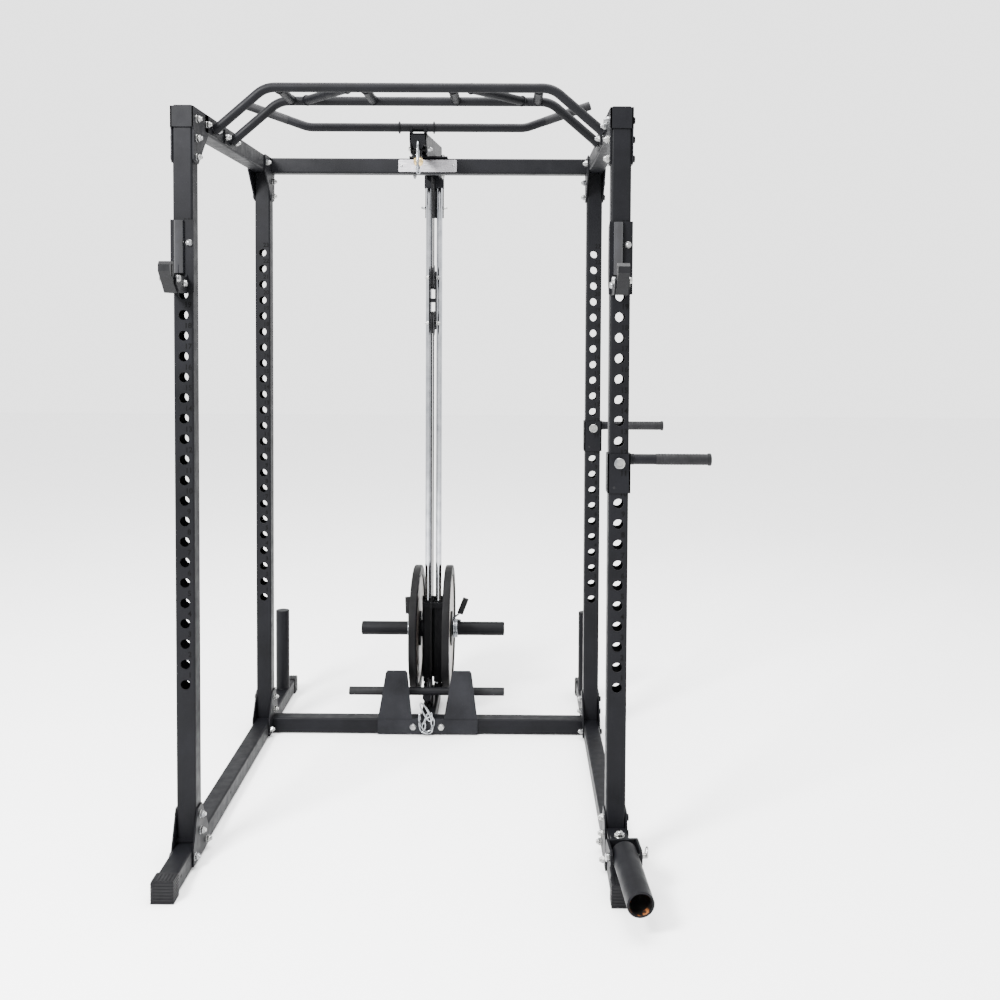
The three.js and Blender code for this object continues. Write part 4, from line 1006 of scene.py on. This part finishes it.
def make_disc(side):
    disc = Piece(f"training_disc_{side}", CAST_RIM, DISC_FACE)
    centre = middle(f"weight_disc_{side}")
    rim = symmetric([(190, -8), (192, -12), (194, -13), (222, -13), (224.4, -11), (225, -8)])
    disc.lathe("x", centre, rim, 112)
    hub = symmetric([(60, 8), (62, 11.5), (60, 13), (28, 13), (25.5, 11)])
    disc.lathe("x", centre, hub, 72)
    for face in (-1, 1):
        web = [(60, 8), (64, 7.4), (120, 7), (124, 8), (128, 7), (186, 7.4), (190, 8)]
        disc.lathe("x", centre, [(radius, height * face) for radius, height in web], 112, 1)
    disc.place(f"weight_disc_{side}", "cast_disc", f"weight_disc_{side}")


def make_collar(side, sign):
    """A wound spring collar with two moulded grips."""
    collar = Piece(f"spring_clip_{side}", STEEL, GRIP)
    x = middle(f"spring_collar_{side}")[0]
    turns, steps, radius, half = 2.75, 110, 29, 7.2
    coil = []
    for k in range(steps + 1):
        t = k / steps
        angle = math.pi / 2 + 2 * math.pi * turns * t
        coil.append((x + half * (2 * t - 1), TOWER_Y + radius * math.cos(angle),
                     HORN_Z + radius * math.sin(angle)))
    start, end = Vector(coil[0]), Vector(coil[-1])
    lean, tip_x = (0.37, 18) if sign > 0 else (-0.04, -8)
    tip = Vector((x + tip_x, TOWER_Y - 6, HORN_Z + 60))
    tail = end + Vector((-1, -24, 14))
    coil = [tip, start + Vector((0, -1.5, 9))] + coil + [end + Vector((0, -9, 4)), tail]
    collar.sweep(coil, 3.2, 12)
    grip = rounded_rectangle(21, 17, 6)
    for place, tilt, length in ((tip, lean, 58), (tail, 0.2, 20)):
        stand = Matrix.Translation(place) @ Matrix.Rotation(tilt, 4, "Y") @ Matrix.Translation((0, 0, -4))
        collar.add(prism_shape(grip, 0, length), 1, stand, 3.5, 3)
    collar.place(f"spring_collar_{side}", "collar_steel", f"spring_collar_{side}")


# ---- bars -------------------------------------------------------------------------------
def make_bars():
    lat = Piece("pulldown_bar", POWDER, GRIP)
    x, y, z = -5, 474, 1964
    bend, end, rise = 320, 510, 66
    path = [(x - end, y, z + rise), (x - bend, y, z), (x + bend, y, z), (x + end, y, z + rise)]
    lat.sweep(bend_corners(path, 90), 12.6, 28)
    flange = symmetric([(12, -2), (17, -2), (18, -1)])
    for _, sign in SIDES:
        grip = [(x + sign * 378, y, z + 20.1), (x + sign * 509, y, z + 65.7)]
        lat.sweep(grip, 13, 28, material=1)
        lat.lathe("x", (x + sign * 51, y, z), flange, 36)
    lat.place("lat_bar", "powder_coat", "lat_bar")
    row = Piece("low_pull_bar", POWDER, GRIP)
    x, y, z = -6, 900, 127
    row.lathe("x", (x, y, z), cylinder_profile(13.4, 262), 40)
    sleeve = [(13.3, 130), (14, 131), (14, 262), (13, 265), (0, 265)]
    for _, sign in SIDES:
        turn = Matrix.Translation((x, y, z)) @ Matrix.Scale(sign, 4, (1, 0, 0)) @ AXES["x"]
        row.add(lathe_shape(sleeve, 40), 1, turn)
    tab = [(x - 14, z - 10), (x - 14, z - 26), (x - 8, z - 34), (x + 8, z - 34), (x + 14, z - 26),
           (x + 14, z - 10)]
    row.prism("y", tab, y - 3, y + 3, bevel=0.8)
    row.place("low_row_bar", "powder_coat", "low_row_bar")


# ---- cables, snap hooks and chain -------------------------------------------------------
def arc(sheave, start, end, steps=28):
    y, z, radius = sheave
    angles = [start + (end - start) * k / steps for k in range(steps + 1)]
    return [(0, y + radius * math.cos(a), z + radius * math.sin(a)) for a in angles]


def cable(name, path, body, *nodes):
    piece = Piece(name, CABLE)
    piece.sweep(path, CABLE_RADIUS, 14)
    return piece.place(body, "coated_cable", *nodes)


def straight(start, end, steps):
    start, end = Vector(start), Vector(end)
    return [start.lerp(end, k / steps) for k in range(steps + 1)]


def make_cables():
    tangent = math.pi / 2 + 0.077
    over_top = arc(FRONT_SHEAVE, math.pi, tangent, 16) + arc(REAR_SHEAVE, tangent, 0, 18)
    cable("cable_over_boom", over_top, "frame", "lat_cable_top")
    cable("cable_low_turn", arc(LOW_SHEAVE, 0, -math.pi / 2, 16) + [(0, 926, 66)], "frame", "row_cable")
    cable("cable_upper_turn", arc(UPPER_SHEAVE, 0, -math.pi), "floating_block", "lat_cable_loop")
    cable("cable_lower_turn", arc(LOWER_SHEAVE, 0, math.pi), "floating_block")
    runs = (
        ("cable_rear_run", "floating_block", (0, FAR_Y, 1944), (0, FAR_Y, REST_TOP), 24),
        ("cable_anchor_run", "floating_block", (0, NEAR_Y, 1909), (0, NEAR_Y, REST_TOP), 24),
        ("cable_row_front_run", "floating_block", (0, NEAR_Y, 106), (0, NEAR_Y, REST_BOTTOM), 24),
        ("cable_handle_run", "lat_cable_end", (0, HANDLE_Y, 1905), (0, HANDLE_Y, 1874), 12),
    )
    for name, body, start, end, steps in runs:
        piece = cable(name, straight(start, end, steps), None)
        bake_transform(piece)
    # The carriage rises twice as far as the block, so on the real cage this run gets shorter by the difference;
    # here it is drawn at rest.
    low_end = (0, FAR_Y, 382.3)
    top_end = (0, FAR_Y, REST_BOTTOM)
    piece = cable("cable_carriage_run", straight(low_end, top_end, 2), "floating_block")
    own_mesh(piece)


def snap_hook(piece, centre, turn, length, width, wire, material=0):
    """An oval spring hook with a gate bar, long along its own Z."""
    loop = [(width * u, 0, length * math.copysign(abs(v) ** 0.75, v)) for u, v in ellipse(1, 1, 40)]
    stand = Matrix.Translation(centre) @ turn
    piece.add(sweep_shape(loop, wire, 12, True), material, stand)
    gate = [(width * 1.02, 0, -length * 0.42), (width * 1.04, 0, length * 0.45)]
    piece.add(sweep_shape(gate, wire * 1.35, 12), material, stand)


def chain_link(piece, stand, width, length, wire, count, material=0):
    oval = [(u, 0, v) for u, v in ellipse(width, length, count)]
    piece.add(sweep_shape(oval, wire, 10, True), material, stand)


def make_handle_end():
    """The brass ball on the handle cable, its ferrule, three links and a snap hook."""
    end = Piece("cable_stop", BRASS, STEEL)
    ball_z, ferrule_z, radius = 1864, 1834, 15
    ball = [(0, -radius), *ellipse(radius, radius, 32, -8)[1:16], (0, radius)]
    ferrule = [(0, 0), (3.4, 0), (4, 1), (4, 12), (3.4, 14), (0, 14)]
    end.lathe("z", (0, HANDLE_Y, ball_z), ball, 32)
    end.lathe("z", (0, HANDLE_Y, ferrule_z), ferrule, 20, 1)
    quarter = Matrix.Rotation(math.pi / 2, 4, "Z")
    for k in range(3):
        place = Matrix.Translation((0, HANDLE_Y - 4 - 8 * k, ferrule_z + 5 * k))
        twist = quarter if k % 2 else Matrix.Identity(4)
        chain_link(end, place @ twist @ Matrix.Rotation(0.9 - 0.5 * k, 4, "X"), 5, 8, 1.8, 24, 1)
    snap_hook(end, (0, 445, 1878), quarter @ Matrix.Rotation(0.12, 4, "Y"), 40, 10, 3.2, 1)
    end.place("lat_cable_end", "link_steel", "lat_cable_end")


def make_chain():
    """Large oval links in a hanging loop in front of the rear floor rail, with a snap hook across it."""
    chain = Piece("row_chain_links", STEEL)
    y = DEPTH - 14
    hanging = ((-24, 74), (-24, 52), (-22, 32), (-13, 17), (2, 12), (15, 18), (20, 36), (20, 58), (14, 76),
               (-2, 66), (-9, 46), (-10, 26))
    route = [Vector((x, y, z)) for x, z in hanging]
    for k, (start, end) in enumerate(zip(route, route[1:])):
        centre = (start + end) / 2
        run = (end - start).normalized()
        half = (end - start).length / 2 + 3.4
        twist = Matrix.Rotation(0.35 + (math.pi / 2 if k % 2 else 0), 4, "Z")
        chain_link(chain, Matrix.Translation(centre) @ facing(run) @ twist, 5.2, half, 2.5, 26)
    snap_hook(chain, (-4, y, 82), Matrix.Rotation(-0.5, 4, "Y"), 34, 8, 2.8)
    chain.place("frame", "link_steel", "row_chain")


# ---- the whole cage ---------------------------------------------------------------------
make_camera()
make_studio()
make_uprights()
make_beams()
for side, sign in SIDES:
    foot_cap(side, sign, "front", RAIL_FRONT, -1)
    foot_cap(side, sign, "rear", RAIL_REAR, 1)
    make_j_hook(side, sign * POST_X)
    make_disc(side)
    make_collar(side, sign)
make_brackets()
make_pull_up_bar()
make_pegs_and_plate()
make_dip_handle("front", 0)
make_dip_handle("rear", DEPTH)
make_landmine()
make_boom()
make_tower()
make_foot_plates()
make_floating_block()
make_carriage()
pulley("boom_front_wheel", "front_pulley", FRONT_SHEAVE)
pulley("boom_rear_wheel", "rear_pulley", REAR_SHEAVE)
pulley("low_wheel", "low_pulley", LOW_SHEAVE)
pulley("block_upper_wheel", "upper_floating_pulley", UPPER_SHEAVE)
pulley("block_lower_wheel", "lower_floating_pulley", LOWER_SHEAVE)
make_bars()
make_cables()
make_handle_end()
make_chain()
